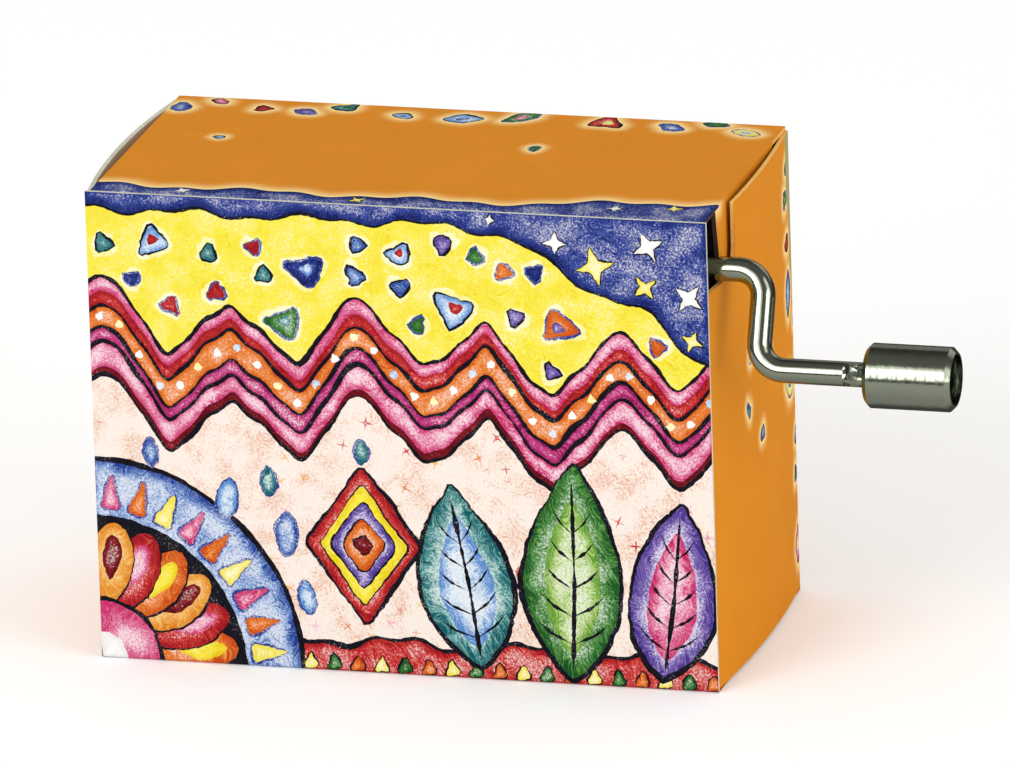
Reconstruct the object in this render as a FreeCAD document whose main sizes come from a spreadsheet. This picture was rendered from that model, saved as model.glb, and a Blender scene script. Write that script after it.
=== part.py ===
import FreeCAD, Part
import math
import os
import Sketcher
from FreeCAD import Placement, Rotation, Vector

# Hand-cranked music box in a folded cardboard carton, in millimetres.
# The origin is the centre of the carton's bottom face. The crank leaves the right side (+X),
# the printed front faces -Y and the lid closes the top (+Z).

SIZES = (
    # carton and lid
    ("box_wide", 60.0),
    ("box_deep", 31.0),
    ("box_high", 46.0),
    ("board", 0.4),
    ("fold_round", 0.35),
    ("bow_right", 0.75),
    ("bow_left", 1.2),
    ("rim_drop", 0.43),
    ("notch_in", 8.3),
    ("notch_drop", 7.0),
    ("notch_round", 2.5),
    ("tab_wide", 8.0),
    ("tab_inset", 3.0),
    ("lid_left", 29.6),
    ("lid_right", 29.75),
    ("lid_gap", 0.12),
    ("flap_drop", 9.0),
    ("flap_half", 28.0),
    ("relief_left", 0.2),
    ("relief_right", 21.8),
    ("relief_drop", 1.6),
    ("relief_round", 2.0),
    ("ear_front", 4.5),
    ("ear_back", 5.0),
    ("ear_drop", 9.0),
    ("ear_slant", 1.6),
    ("case_hole", 1.25),
    # crank
    ("crank_in", 3.8),
    ("crank_drop", 5.53),
    ("wire_radius", 1.175),
    ("wire_start", 0.3),
    ("arm_x", 34.6),
    ("crank_radius", 9.2),
    ("crank_tilt", 23.5),
    ("bend_round", 2.5),
    ("stop_x", 43.1),
    ("stop_long", 1.95),
    ("stop_half", 1.65),
    ("stop_taper", 0.7),
    ("stop_thick", 1.3),
    ("knob_x", 45.2),
    ("knob_long", 8.4),
    ("knob_radius", 3.05),
    ("knob_chamfer", 0.45),
    ("knob_play", 0.06),
    ("sink_radius", 2.4),
    ("sink_deep", 1.6),
    ("rivet_radius", 1.7),
    ("rivet_high", 0.55),
    ("rivet_gap", 0.05),
    # worm drive
    ("tooth_module", 0.8),
    ("pressure_angle", 20.0),
    ("wheel_teeth", 16),
    ("worm_pitch_radius", 2.15),
    ("addendum", 0.6),
    ("dedendum", 0.72),
    ("backlash", 0.05),
    ("wheel_thick", 3.0),
    ("worm_turns", 2.5),
    ("worm_half", 7.95),
    ("thread_sunk", 0.1),
    ("hub_play", 0.3),
    # pinned cylinder
    ("drum_x", 11.0),
    ("drum_low", 15.3),
    ("drum_high", 36.3),
    ("drum_radius", 6.5),
    ("drum_wall", 0.8),
    ("pin_high", 0.7),
    ("pin_foot", 0.24),
    ("pin_tip", 0.13),
    ("pin_sunk", 0.3),
    ("cap_thick", 1.2),
    ("arbor_radius", 0.9),
    ("arbor_low", 12.9),
    ("arbor_high", 43.3),
    ("groove_radius", 0.7),
    ("ring_radius", 1.9),
    ("ring_low", 42.1),
    ("ring_thick", 0.4),
    ("washer_thick", 0.3),
    ("washer_radius", 2.2),
    ("side_play", 0.1),
    # frame of the movement
    ("drum_rise", 8.8),
    ("plate_left", 24.5),
    ("plate_right", 26.5),
    ("plate_low", 3.0),
    ("plate_high", 44.0),
    ("plate_thick", 1.6),
    ("plate_round", 3.0),
    ("post_radius", 2.6),
    ("post_left", 21.0),
    ("post_right", 22.5),
    ("post_low", 7.5),
    ("post_high", 39.5),
    ("rib_thick", 1.2),
    ("rib_high", 3.0),
    ("metal", 1.0),
    ("wall_low", 13.45),
    ("wall_high", 37.15),
    ("wall_half", 7.4),
    ("wall_round", 3.0),
    ("wall_shoulder", 2.2),
    ("foot_long", 4.9),
    ("bend_inside", 0.4),
    ("ear_reach", 8.6),
    ("eye_radius", 2.6),
    ("eye_flare", 1.4),
    ("eye_neck", 6.0),
    ("bush_radius", 1.8),
    ("flange_radius", 2.3),
    ("flange_thick", 0.4),
    ("drum_bush_proud", 0.1),
    ("crank_bush_proud", 0.2),
    ("running_fit", 0.03),
    # comb
    ("teeth", 18),
    ("tooth_pitch", 1.1),
    ("tooth_slot", 0.22),
    ("comb_low", 16.15),
    ("comb_thick", 1.2),
    ("tooth_thick", 0.75),
    ("pluck_gap", 0.08),
    ("bass_long", 17.5),
    ("treble_long", 10.5),
    ("heel_long", 9.2),
    ("comb_hole", 1.15),
    ("seat_margin", 0.4),
    ("weights", 8),
    ("weight_back", 1.4),
    ("weight_long", 3.4),
    ("weight_long_step", 0.25),
    ("weight_thick", 2.4),
    ("weight_thick_step", 0.22),
    ("weight_wide", 0.76),
    ("dampers", 12),
    ("damper_back", 0.76),
    ("damper_long", 1.9),
    ("damper_long_step", 0.06),
    ("damper_thick", 0.14),
    ("damper_wide", 0.6),
)

# Places that several pieces share, as expressions of the sizes above.
HALF_WIDE = "(dims.box_wide / 2)"
FRONT = "(-dims.box_deep / 2)"
BACK = "(dims.box_deep / 2)"
FRONT_IN = f"({FRONT} + dims.board)"
BACK_IN = f"({BACK} - dims.board)"
RIM = "(dims.box_high - dims.rim_drop)"
HINGE_Y = f"({BACK} - dims.board / 2)"
HINGE_Z = "(dims.box_high - dims.board / 2)"
SHAFT_Y = f"({FRONT} + dims.crank_in)"
SHAFT_Z = "(dims.box_high - dims.crank_drop)"
WHEEL_RADIUS = "(dims.wheel_teeth * dims.tooth_module / 2)"
DRUM_Y = f"({SHAFT_Y} + {WHEEL_RADIUS} + dims.worm_pitch_radius)"
PLATE_FACE = f"({DRUM_Y} + dims.drum_rise)"
PLATE_BACK = f"({PLATE_FACE} + dims.plate_thick)"
TIP_X = "(dims.drum_x - dims.drum_radius - dims.pin_high - dims.pluck_gap)"
COMB_FRONT = f"({DRUM_Y} - dims.tooth_thick / 2)"
COMB_SEAT = f"({COMB_FRONT} + dims.comb_thick)"
COMB_HIGH = "(dims.comb_low + dims.teeth * dims.tooth_pitch)"
BASS_ROOT = f"({TIP_X} - dims.bass_long)"
TREBLE_ROOT = f"({TIP_X} - dims.treble_long)"
BEND_OUTSIDE = "(dims.bend_inside + dims.metal)"
FOOT_FACE = f"({PLATE_FACE} - dims.metal)"

TURNS = {
    "up": Rotation(),
    "right": Rotation(Vector(0, 1, 0), 90),
}

doc = FreeCAD.newDocument("music_box")
dims = doc.addObject("Spreadsheet::Sheet", "dims")


def fill_sheet():
    for row, (alias, number) in enumerate(SIZES, start=1):
        dims.set(f"A{row}", alias)
        dims.set(f"B{row}", str(number))
        dims.setAlias(f"B{row}", alias)
    doc.recompute()


def worth(expression):
    """The number that an expression of the sizes gives."""
    return float(dims.evalExpression(str(expression)))


# Sketches and features

def hold(sketch, kind, places, expression):
    index = sketch.addConstraint(Sketcher.Constraint(kind, *places, worth(expression)))
    sketch.setExpression(f"Constraints[{index}]", str(expression))


def draw_circle(sketch, x, y, radius):
    centre = Vector(worth(x), worth(y), 0)
    geo = sketch.addGeometry(Part.Circle(centre, Vector(0, 0, 1), worth(radius)))
    hold(sketch, "Radius", (geo,), radius)
    hold(sketch, "DistanceX", (-1, 1, geo, 3), x)
    hold(sketch, "DistanceY", (-1, 1, geo, 3), y)


def add_run(sketch, corner, start, end):
    """One line or arc from start to end, with the numbers of its first and last point."""
    if len(corner) == 2:
        return sketch.addGeometry(Part.LineSegment(start, end)), 1, 2
    radius = worth(corner[2])
    side = corner[3]
    run = end - start
    rise = radius - math.sqrt(max(radius ** 2 - (run.Length / 2) ** 2, 0))
    left = Vector(-run.y, run.x, 0).normalize()
    middle = (start + end) * 0.5 + left * rise * side
    ends = (end, start) if side > 0 else (start, end)
    geo = sketch.addGeometry(Part.Arc(ends[0], middle, ends[1]))
    hold(sketch, "Radius", (geo,), corner[2])
    return (geo, 2, 1) if side > 0 else (geo, 1, 2)


def draw_runs(sketch, corners, closed):
    """Lines and arcs through corners, each corner held by its two coordinates.

    A corner is (x, y), or (x, y, radius, side) where an arc leaves it that bulges to the left
    (side 1) or to the right (side -1) of the way to the next corner.
    """
    points = [Vector(worth(corner[0]), worth(corner[1]), 0) for corner in corners]
    count = len(corners) if closed else len(corners) - 1
    runs = []
    for index in range(count):
        runs.append(add_run(sketch, corners[index], points[index], points[(index + 1) % len(points)]))
    for index, (geo, first, last) in enumerate(runs):
        hold(sketch, "DistanceX", (-1, 1, geo, first), corners[index][0])
        hold(sketch, "DistanceY", (-1, 1, geo, first), corners[index][1])
        if closed or index + 1 < count:
            next_geo, next_first, _ = runs[(index + 1) % count]
            sketch.addConstraint(Sketcher.Constraint("Coincident", geo, last, next_geo, next_first))
    if not closed:
        geo, _, last = runs[-1]
        hold(sketch, "DistanceX", (-1, 1, geo, last), corners[-1][0])
        hold(sketch, "DistanceY", (-1, 1, geo, last), corners[-1][1])


def new_body(label):
    body = doc.addObject("PartDesign::Body", label)
    body.Label = label
    doc.recompute()
    return body


def new_sketch(body, name, plane, station, loops, closed=True):
    sketch = body.newObject("Sketcher::SketchObject", f"{body.Name}_{name}_sketch")
    support = [item for item in body.Origin.OriginFeatures if item.Role == plane]
    sketch.AttachmentSupport = (support[0], [""])
    sketch.MapMode = "FlatFace"
    sign = "-" if plane == "XZ_Plane" else "+"
    sketch.setExpression("AttachmentOffset.Base.z", f"0 {sign} ({station})")
    for loop in loops:
        if isinstance(loop, tuple):
            draw_circle(sketch, *loop)
        else:
            draw_runs(sketch, loop, closed)
    doc.recompute()
    return sketch


def finish(body, feature, grows):
    """Recompute, and make sure that the feature added or removed material as it should."""
    before = body.Shape.Volume if body.Shape.Solids else 0.0
    doc.recompute()
    after = feature.Shape.Volume
    if (after - before) * (1 if grows else -1) <= 1e-6:
        raise RuntimeError(f"{feature.Name} changed nothing: {before:.3f} to {after:.3f}")
    return feature


def add_slab(body, name, plane, low, high, *loops):
    """Material between two stations along the plane's axis, with the outline of the loops."""
    station = high if plane == "XZ_Plane" else low
    sketch = new_sketch(body, name, plane, station, loops)
    feature = body.newObject("PartDesign::Pad", f"{body.Name}_{name}")
    feature.Profile = sketch
    feature.setExpression("Length", f"({high}) - ({low})")
    return finish(body, feature, True)


def cut_slab(body, name, plane, low, high, *loops):
    """Cut between two stations along the plane's axis."""
    station = low if plane == "XZ_Plane" else high
    sketch = new_sketch(body, name, plane, station, loops)
    feature = body.newObject("PartDesign::Pocket", f"{body.Name}_{name}")
    feature.Profile = sketch
    feature.setExpression("Length", f"({high}) - ({low})")
    return finish(body, feature, False)


def turn_profile(body, name, plane, axis, loop):
    """A turned piece: the loop revolved about the sketch's own axis."""
    sketch = new_sketch(body, name, plane, "0", [loop])
    feature = body.newObject("PartDesign::Revolution", f"{body.Name}_{name}")
    feature.Profile = sketch
    feature.ReferenceAxis = (sketch, [axis])
    feature.Angle = 360
    return finish(body, feature, True)


def middle_of(edge):
    return edge.valueAt((edge.FirstParameter + edge.LastParameter) / 2)


def round_edges(body, name, radius, wanted):
    """Fillet the edges of the body that pass the test, which sees the edge and its middle point."""
    base = body.Tip
    edges = enumerate(base.Shape.Edges, start=1)
    names = [f"Edge{index}" for index, edge in edges if wanted(edge, middle_of(edge))]
    if not names:
        raise RuntimeError(f"{body.Name}_{name} found no edge")
    feature = body.newObject("PartDesign::Fillet", f"{body.Name}_{name}")
    feature.Base = (base, names)
    feature.setExpression("Radius", str(radius))
    doc.recompute()
    if not feature.Shape.isValid() or not feature.Shape.Solids:
        raise RuntimeError(f"{feature.Name} could not be made")
    return feature


def near(number, expression, slack=0.05):
    return abs(number - worth(expression)) < slack


def round_bend(body, axis, outer, inner):
    """Round a right-angled bend of the bracket metal.

    The bend runs along the axis. outer and inner are the places of its two corners, as pairs of
    (axis, expression).
    """
    def along(corner):
        def wanted(edge, middle):
            runs = abs(getattr(edge.tangentAt(edge.FirstParameter), axis)) > 0.99
            return runs and all(near(getattr(middle, side), place) for side, place in corner)
        return wanted

    round_edges(body, "bend_outside", BEND_OUTSIDE, along(outer))
    round_edges(body, "bend_inside", "dims.bend_inside", along(inner))


def box_loop(left, low, right, high):
    return [(left, low), (right, low), (right, high), (left, high)]


# Simple round pieces

def place(piece, base, turn):
    piece.Placement = Placement(Vector(), TURNS[turn])
    for axis, expression in zip("xyz", base):
        piece.setExpression(f"Placement.Base.{axis}", str(expression))


def rod(name, radius, length, base, turn):
    piece = doc.addObject("Part::Cylinder", name)
    piece.setExpression("Radius", str(radius))
    piece.setExpression("Height", str(length))
    place(piece, base, turn)
    return piece


def block(name, low, size):
    piece = doc.addObject("Part::Box", name)
    for side, expression in zip(("Length", "Width", "Height"), size):
        piece.setExpression(side, str(expression))
    place(piece, low, "up")
    return piece


def fuse(name, pieces):
    joined = doc.addObject("Part::MultiFuse", name)
    joined.Shapes = pieces
    return joined


def cut(name, base, tool):
    result = doc.addObject("Part::Cut", name)
    result.Base = base
    result.Tool = tool
    return result


def group(label, pieces):
    """Separate solids that share one node."""
    result = doc.addObject("Part::Compound", label)
    result.Label = label
    result.Links = pieces
    return result


def ring(name, outer, inner, length, base, turn):
    solid = rod(f"{name}_outside", outer, length, base, turn)
    bore = rod(f"{name}_bore", inner, length, base, turn)
    return cut(name, solid, bore)


def flanged_bush(name, bore, length, base, turn):
    """Bush that starts with its flange at base and runs through the metal behind it."""
    flange = rod(f"{name}_flange", "dims.flange_radius", "dims.flange_thick", base, turn)
    sleeve = rod(f"{name}_sleeve", "dims.bush_radius", length, base, turn)
    hole = rod(f"{name}_hole", bore, length, base, turn)
    return cut(name, fuse(f"{name}_solid", [flange, sleeve]), hole)


# Carton

def wall_outline():
    """Plan of the side and back panels: one strip of board whose side panels bow outwards."""
    chord_out = f"({BACK} - {FRONT_IN})"
    chord_in = f"({BACK_IN} - {FRONT_IN})"
    outside = HALF_WIDE
    inside = f"({HALF_WIDE} - dims.board)"

    def bow(chord, rise):
        return f"({chord} * {chord} / 4 + dims.{rise} * dims.{rise}) / (2 * dims.{rise})"

    return [
        (f"-{outside}", FRONT_IN, bow(chord_out, "bow_left"), 1),
        (f"-{outside}", BACK),
        (outside, BACK, bow(chord_out, "bow_right"), 1),
        (outside, FRONT_IN),
        (inside, FRONT_IN, bow(chord_in, "bow_right"), -1),
        (inside, BACK_IN),
        (f"-{inside}", BACK_IN, bow(chord_in, "bow_left"), -1),
        (f"-{inside}", FRONT_IN),
    ]


def side_tab(side, low, high):
    """Glue tab behind the front panel, folded inwards from a side panel."""
    outer = f"{side} * ({HALF_WIDE} - dims.board / 2)"
    inner = f"{side} * ({HALF_WIDE} - dims.board - dims.tab_wide)"
    return [
        (outer, low),
        (inner, f"{low} + dims.tab_inset"),
        (inner, f"{high} - dims.tab_inset"),
        (outer, high),
    ]


def bottom_tab(side):
    """Glue tab on the bottom panel, folded inwards from a side panel."""
    outer = f"{side} * ({HALF_WIDE} - dims.board / 2)"
    inner = f"{side} * ({HALF_WIDE} - dims.board - dims.tab_wide)"
    return [
        (outer, f"{FRONT} + dims.tab_inset"),
        (inner, f"{FRONT} + 2 * dims.tab_inset"),
        (inner, f"{BACK} - 2 * dims.tab_inset"),
        (outer, f"{BACK} - dims.tab_inset"),
    ]


def post_places():
    across = ("-dims.post_left", "dims.post_right")
    return [(x, z) for x in across for z in ("dims.post_low", "dims.post_high")]


def make_carton():
    body = new_body("carton_body")
    inside = f"({HALF_WIDE} - dims.board)"
    add_slab(body, "walls", "XY_Plane", "dims.fold_round", RIM, wall_outline())
    front = [
        (FRONT, "dims.box_high"),
        (FRONT, "dims.fold_round", "dims.fold_round", -1),
        (f"{FRONT} + dims.fold_round", "0"),
        (FRONT_IN, "0"),
        (FRONT_IN, "dims.box_high"),
    ]
    add_slab(body, "front", "YZ_Plane", f"-{HALF_WIDE}", HALF_WIDE, front)
    bottom = [
        (f"{FRONT} + dims.fold_round", "0"),
        (f"{BACK} - dims.fold_round", "0", "dims.fold_round", -1),
        (BACK, "dims.fold_round"),
        (BACK, "dims.board"),
        (f"{FRONT} + dims.fold_round", "dims.board"),
    ]
    add_slab(body, "bottom", "YZ_Plane", f"-{inside}", inside, bottom)
    tab_back = f"({FRONT_IN} + dims.board)"
    tab_high = "(dims.box_high - dims.flap_drop - 2 * dims.board)"
    for side, name in (("1", "right_tab"), ("-1", "left_tab")):
        add_slab(body, name, "XZ_Plane", FRONT_IN, tab_back, side_tab(side, "(2 * dims.board)", tab_high))
    tab_top = "(2 * dims.board)"
    add_slab(body, "bottom_tabs", "XY_Plane", "dims.board", tab_top, bottom_tab("1"), bottom_tab("-1"))

    notch_back = f"({FRONT} + dims.notch_in)"
    notch_low = "(dims.box_high - dims.notch_drop)"
    notch = [
        (FRONT_IN, notch_low),
        (f"{notch_back} - dims.notch_round", notch_low, "dims.notch_round", -1),
        (notch_back, f"{notch_low} + dims.notch_round"),
        (notch_back, "dims.box_high"),
        (FRONT_IN, "dims.box_high"),
    ]
    cut_slab(body, "notch", "YZ_Plane", f"{inside} - dims.board / 2", f"{HALF_WIDE} + 1", notch)
    holes = [(x, z, "dims.case_hole") for x, z in post_places()]
    cut_slab(body, "screw_holes", "XZ_Plane", BACK_IN, BACK, *holes)

    def upright_fold(edge, middle):
        upright = abs(edge.tangentAt(edge.FirstParameter).z) > 0.99
        return upright and near(abs(middle.x), HALF_WIDE) and near(middle.y, BACK) and edge.Length > 20

    round_edges(body, "upright_folds", "dims.fold_round", upright_fold)
    return body


def make_lid():
    body = new_body("carton_lid")
    reach = f"({HINGE_Y} - {FRONT_IN} - dims.lid_gap)"
    reach_in = f"({reach} - dims.board)"
    half_board = "(dims.board / 2)"
    under = "(dims.box_high - dims.board)"
    fold_z = "(dims.box_high - dims.fold_round)"
    fold_fall = f"(dims.fold_round - {half_board})"
    fold_y = f"({HINGE_Y} - sqrt({reach} * {reach} - {fold_fall} * {fold_fall}))"
    end_z = "(dims.box_high - dims.flap_drop)"
    end_fall = f"(dims.flap_drop - {half_board})"
    profile = [
        (HINGE_Y, "dims.box_high", half_board, 1),
        (f"{HINGE_Y} + {half_board}", HINGE_Z, half_board, 1),
        (HINGE_Y, under),
        (f"{HINGE_Y} - sqrt({reach_in} * {reach_in} - {half_board} * {half_board})", under, reach_in, -1),
        (f"{HINGE_Y} - sqrt({reach_in} * {reach_in} - {end_fall} * {end_fall})", end_z),
        (f"{HINGE_Y} - sqrt({reach} * {reach} - {end_fall} * {end_fall})", end_z, reach, 1),
        (fold_y, fold_z, "dims.fold_round", 1),
        (f"{fold_y} + dims.fold_round", "dims.box_high"),
    ]
    add_slab(body, "sheet", "YZ_Plane", "-dims.lid_left", "dims.lid_right", profile)

    flap_low = f"({end_z} - 1)"
    relief_top = f"({under} - dims.relief_drop)"
    trims = [
        box_loop("-dims.lid_left - 1", flap_low, "-dims.flap_half", under),
        box_loop("dims.flap_half", flap_low, "dims.lid_right + 1", under),
        [
            ("dims.relief_left", flap_low),
            ("dims.relief_right", flap_low),
            ("dims.relief_right", f"{relief_top} - dims.relief_round", "dims.relief_round", -1),
            ("dims.relief_right - dims.relief_round", relief_top),
            ("dims.relief_left + dims.relief_round", relief_top, "dims.relief_round", -1),
            ("dims.relief_left", f"{relief_top} - dims.relief_round"),
        ],
    ]
    cut_slab(body, "flap_trim", "XZ_Plane", FRONT, f"{FRONT} + dims.ear_front", *trims)

    front_y = f"({FRONT} + dims.ear_front)"
    back_y = f"({BACK} - dims.ear_back)"
    low_z = "(dims.box_high - dims.ear_drop)"
    ear = [
        (front_y, f"{under} + {half_board}"),
        (f"{front_y} + dims.ear_slant", low_z),
        (f"{back_y} - dims.ear_slant", low_z),
        (back_y, f"{under} + {half_board}"),
    ]
    add_slab(body, "right_ear", "YZ_Plane", "dims.lid_right - dims.board", "dims.lid_right", ear)
    add_slab(body, "left_ear", "YZ_Plane", "-dims.lid_left", "-dims.lid_left + dims.board", ear)
    return body


# Crank

def make_crank_wire():
    """Wire bent twice, drawn with its arm hanging down and then tilted forwards."""
    body = new_body("crank_wire")
    reach = "dims.crank_radius"
    bend = "dims.bend_round"
    end_x = "(dims.knob_x + dims.knob_long - dims.sink_deep + dims.rivet_gap)"
    path = new_sketch(body, "path", "XZ_Plane", "0", [[
        ("dims.wire_start", "0"),
        (f"dims.arm_x - {bend}", "0", bend, 1),
        ("dims.arm_x", f"-{bend}"),
        ("dims.arm_x", f"-{reach} + {bend}", bend, -1),
        (f"dims.arm_x + {bend}", f"-{reach}"),
        (end_x, f"-{reach}"),
    ]], closed=False)
    section = new_sketch(body, "section", "YZ_Plane", "dims.wire_start", [("0", "0", "dims.wire_radius")])
    pipe = body.newObject("PartDesign::AdditivePipe", "crank_pipe")
    pipe.Profile = section
    pipe.Spine = (path, [f"Edge{index}" for index in range(1, 6)])
    finish(body, pipe, True)
    stop_end = "(dims.stop_x + dims.stop_long)"
    stop = [
        ("dims.stop_x", "-dims.stop_half + dims.stop_taper"),
        ("dims.stop_x + dims.stop_taper", "-dims.stop_half"),
        (stop_end, "-dims.stop_half"),
        (stop_end, "dims.stop_half"),
        ("dims.stop_x + dims.stop_taper", "dims.stop_half"),
        ("dims.stop_x", "dims.stop_half - dims.stop_taper"),
    ]
    half_stop = "dims.stop_thick / 2"
    add_slab(body, "stop", "XY_Plane", f"-{reach} - {half_stop}", f"-{reach} + {half_stop}", stop)
    rivet_end = f"({end_x} + dims.rivet_high)"
    add_slab(body, "rivet", "YZ_Plane", end_x, rivet_end, ("0", f"-{reach}", "dims.rivet_radius"))
    body.Placement = Placement(Vector(), Rotation(Vector(-1, 0, 0), worth("dims.crank_tilt")))
    body.setExpression("Placement.Rotation.Angle", "dims.crank_tilt")
    body.setExpression("Placement.Base.y", SHAFT_Y)
    body.setExpression("Placement.Base.z", SHAFT_Z)
    return body


def make_knob():
    """Turned sleeve on the wire's outer run, with a sunk outer end for the riveted wire."""
    body = new_body("crank_knob")
    bore = "(dims.wire_radius + dims.knob_play)"
    edge = "(dims.knob_radius - dims.knob_chamfer)"
    profile = [
        ("0", bore),
        ("dims.knob_long - dims.sink_deep", bore),
        ("dims.knob_long - dims.sink_deep", "dims.sink_radius"),
        ("dims.knob_long", "dims.sink_radius"),
        ("dims.knob_long", edge),
        ("dims.knob_long - dims.knob_chamfer", "dims.knob_radius"),
        ("dims.knob_chamfer", "dims.knob_radius"),
        ("0", edge),
    ]
    turn_profile(body, "sleeve", "XZ_Plane", "H_Axis", profile)
    body.setExpression("Placement.Base.x", "dims.knob_x")
    body.setExpression("Placement.Base.y", f"{SHAFT_Y} - dims.crank_radius * sin(dims.crank_tilt)")
    body.setExpression("Placement.Base.z", f"{SHAFT_Z} - dims.crank_radius * cos(dims.crank_tilt)")
    return body


# Worm drive

def rack_half_width(height):
    """Half the thickness of the worm's thread at a height above its pitch line."""
    pitch = math.pi * worth("dims.tooth_module")
    lean = math.tan(math.radians(worth("dims.pressure_angle")))
    return pitch / 4 - worth("dims.backlash") / 2 - height * lean


def make_worm():
    """Single-start right-hand worm pressed on the crank wire, with a plain hub at its outer end."""
    lead = math.pi * worth("dims.tooth_module")
    turns = worth("dims.worm_turns")
    pitch_radius = worth("dims.worm_pitch_radius")
    top = worth("dims.addendum")
    root = worth("dims.dedendum")
    core_radius = pitch_radius - root
    half = worth("dims.worm_half")
    wire = worth("dims.wire_radius")
    start = -lead * turns / 2
    sunk = worth("dims.thread_sunk")
    corners = [
        Vector(core_radius - sunk, 0, start - rack_half_width(-root - sunk)),
        Vector(pitch_radius + top, 0, start - rack_half_width(top)),
        Vector(pitch_radius + top, 0, start + rack_half_width(top)),
        Vector(core_radius - sunk, 0, start + rack_half_width(-root - sunk)),
    ]
    helix = Part.makeHelix(lead, lead * turns, pitch_radius)
    helix.translate(Vector(0, 0, start))
    thread = Part.Wire(helix).makePipeShell([Part.makePolygon(corners + corners[:1])], True, True)
    thread.rotate(Vector(), Vector(0, 0, 1), -180 * turns)
    hub_start = lead * (turns + 1) / 2
    hub_long = half - hub_start
    shape = Part.makeCylinder(core_radius, 2 * half, Vector(0, 0, -half)).fuse(thread)
    shape = shape.fuse(Part.makeCylinder(pitch_radius, hub_long, Vector(0, 0, hub_start)))
    shape = shape.cut(Part.makeCylinder(wire, 2 * half + 2, Vector(0, 0, -half - 1)))
    piece = doc.addObject("Part::Feature", "worm")
    piece.Shape = shape
    place_along = Rotation(Vector(1, 1, 1), 120)
    piece.Placement = Placement(Vector(worth("dims.drum_x"), worth(SHAFT_Y), worth(SHAFT_Z)), place_along)
    return piece


def involute(angle):
    return math.tan(angle) - angle


def wheel_section(turn, height):
    """Wheel teeth in one plane: two straight runs for each involute flank, with flat lands."""
    teeth = round(worth("dims.wheel_teeth"))
    pitch_radius = worth(WHEEL_RADIUS)
    pressure = math.radians(worth("dims.pressure_angle"))
    base_radius = pitch_radius * math.cos(pressure)
    radii = (pitch_radius - worth("dims.dedendum"), pitch_radius, pitch_radius + worth("dims.addendum"))
    pitch_half = math.pi / (2 * teeth) - worth("dims.backlash") / (2 * pitch_radius)

    def flank(centre, side, radius):
        lean = math.acos(min(base_radius / radius, 1))
        angle = centre + side * (pitch_half + involute(pressure) - involute(lean))
        return Vector(radius * math.cos(angle), radius * math.sin(angle), height)

    corners = []
    for tooth in range(teeth):
        centre = turn + math.radians(-90) + (tooth + 0.5) * 2 * math.pi / teeth
        corners += [flank(centre, -1, radius) for radius in radii]
        corners += [flank(centre, 1, radius) for radius in reversed(radii)]
    return Part.makePolygon(corners + corners[:1])


def make_wheel():
    """Helical wheel on the arbor's upper end, its teeth leaning like the worm's thread."""
    thick = worth("dims.wheel_thick")
    lead = math.pi * worth("dims.tooth_module")
    lean = lead / (2 * math.pi * worth("dims.worm_pitch_radius"))
    half_turn = lean * thick / 2 / worth(WHEEL_RADIUS)
    sections = [wheel_section(side * half_turn, side * thick / 2) for side in (-1, 1)]
    shape = Part.makeLoft(sections, True, True)
    hub_drop = worth(f"{SHAFT_Z} - dims.wall_high - dims.metal - dims.hub_play")
    shape = shape.fuse(Part.makeCylinder(worth("dims.washer_radius"), hub_drop, Vector(0, 0, -hub_drop)))
    bore = worth("dims.arbor_radius")
    shape = shape.cut(Part.makeCylinder(bore, 2 * hub_drop + thick, Vector(0, 0, -hub_drop - 1)))
    piece = doc.addObject("Part::Feature", "worm_wheel")
    piece.Shape = shape
    piece.Placement = Placement(Vector(worth("dims.drum_x"), worth(DRUM_Y), worth(SHAFT_Z)), Rotation())
    return piece


# Pinned cylinder

def pin_turns(track):
    """Angles of one tooth's pins: one or two notes of a made-up tune, and two more as its echo."""
    start = track * 47 % 120
    notes = [start + step * (52 + track % 4 * 9) for step in range(1 + track % 2)]
    return notes + [start + 196 + track % 5 * 11, start + 290]


def make_drum():
    """Sleeve with raised pins, one ring of pins for each comb tooth."""
    radius = worth("dims.drum_radius")
    low = worth("dims.drum_low")
    long = worth("dims.drum_high") - low
    pin_high = worth("dims.pin_high")
    foot = worth("dims.pin_foot")
    tip = worth("dims.pin_tip")
    sunk = worth("dims.pin_sunk")
    sleeve = Part.makeCylinder(radius, long)
    pins = []
    for track in range(round(worth("dims.teeth"))):
        height = worth("dims.comb_low") + (track + 0.5) * worth("dims.tooth_pitch") - low
        for turn in pin_turns(track):
            base = Part.makePolygon([Vector(radius - sunk, y, z) for y, z in square_corners(foot)])
            top = Part.makePolygon([Vector(radius + pin_high, y, z) for y, z in square_corners(tip)])
            pin = Part.makeLoft([base, top], True, True)
            pin.translate(Vector(0, 0, height))
            pin.rotate(Vector(), Vector(0, 0, 1), turn)
            pins.append(pin)
    shape = sleeve.fuse(pins).cut(Part.makeCylinder(radius - worth("dims.drum_wall"), long))
    piece = doc.addObject("Part::Feature", "drum_sleeve")
    piece.Shape = shape.removeSplitter()
    piece.Placement = Placement(Vector(worth("dims.drum_x"), worth(DRUM_Y), low), Rotation())
    return piece


def square_corners(half):
    return [(-half, -half), (half, -half), (half, half), (-half, half), (-half, -half)]


def make_drum_caps():
    inside = "(dims.drum_radius - dims.drum_wall)"
    stations = ("dims.drum_low", "dims.drum_high - dims.cap_thick")
    caps = []
    for index, station in enumerate(stations):
        base = ("dims.drum_x", DRUM_Y, station)
        caps.append(ring(f"drum_cap_{index}", inside, "dims.arbor_radius", "dims.cap_thick", base, "up"))
    return group("drum_caps", caps)


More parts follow.
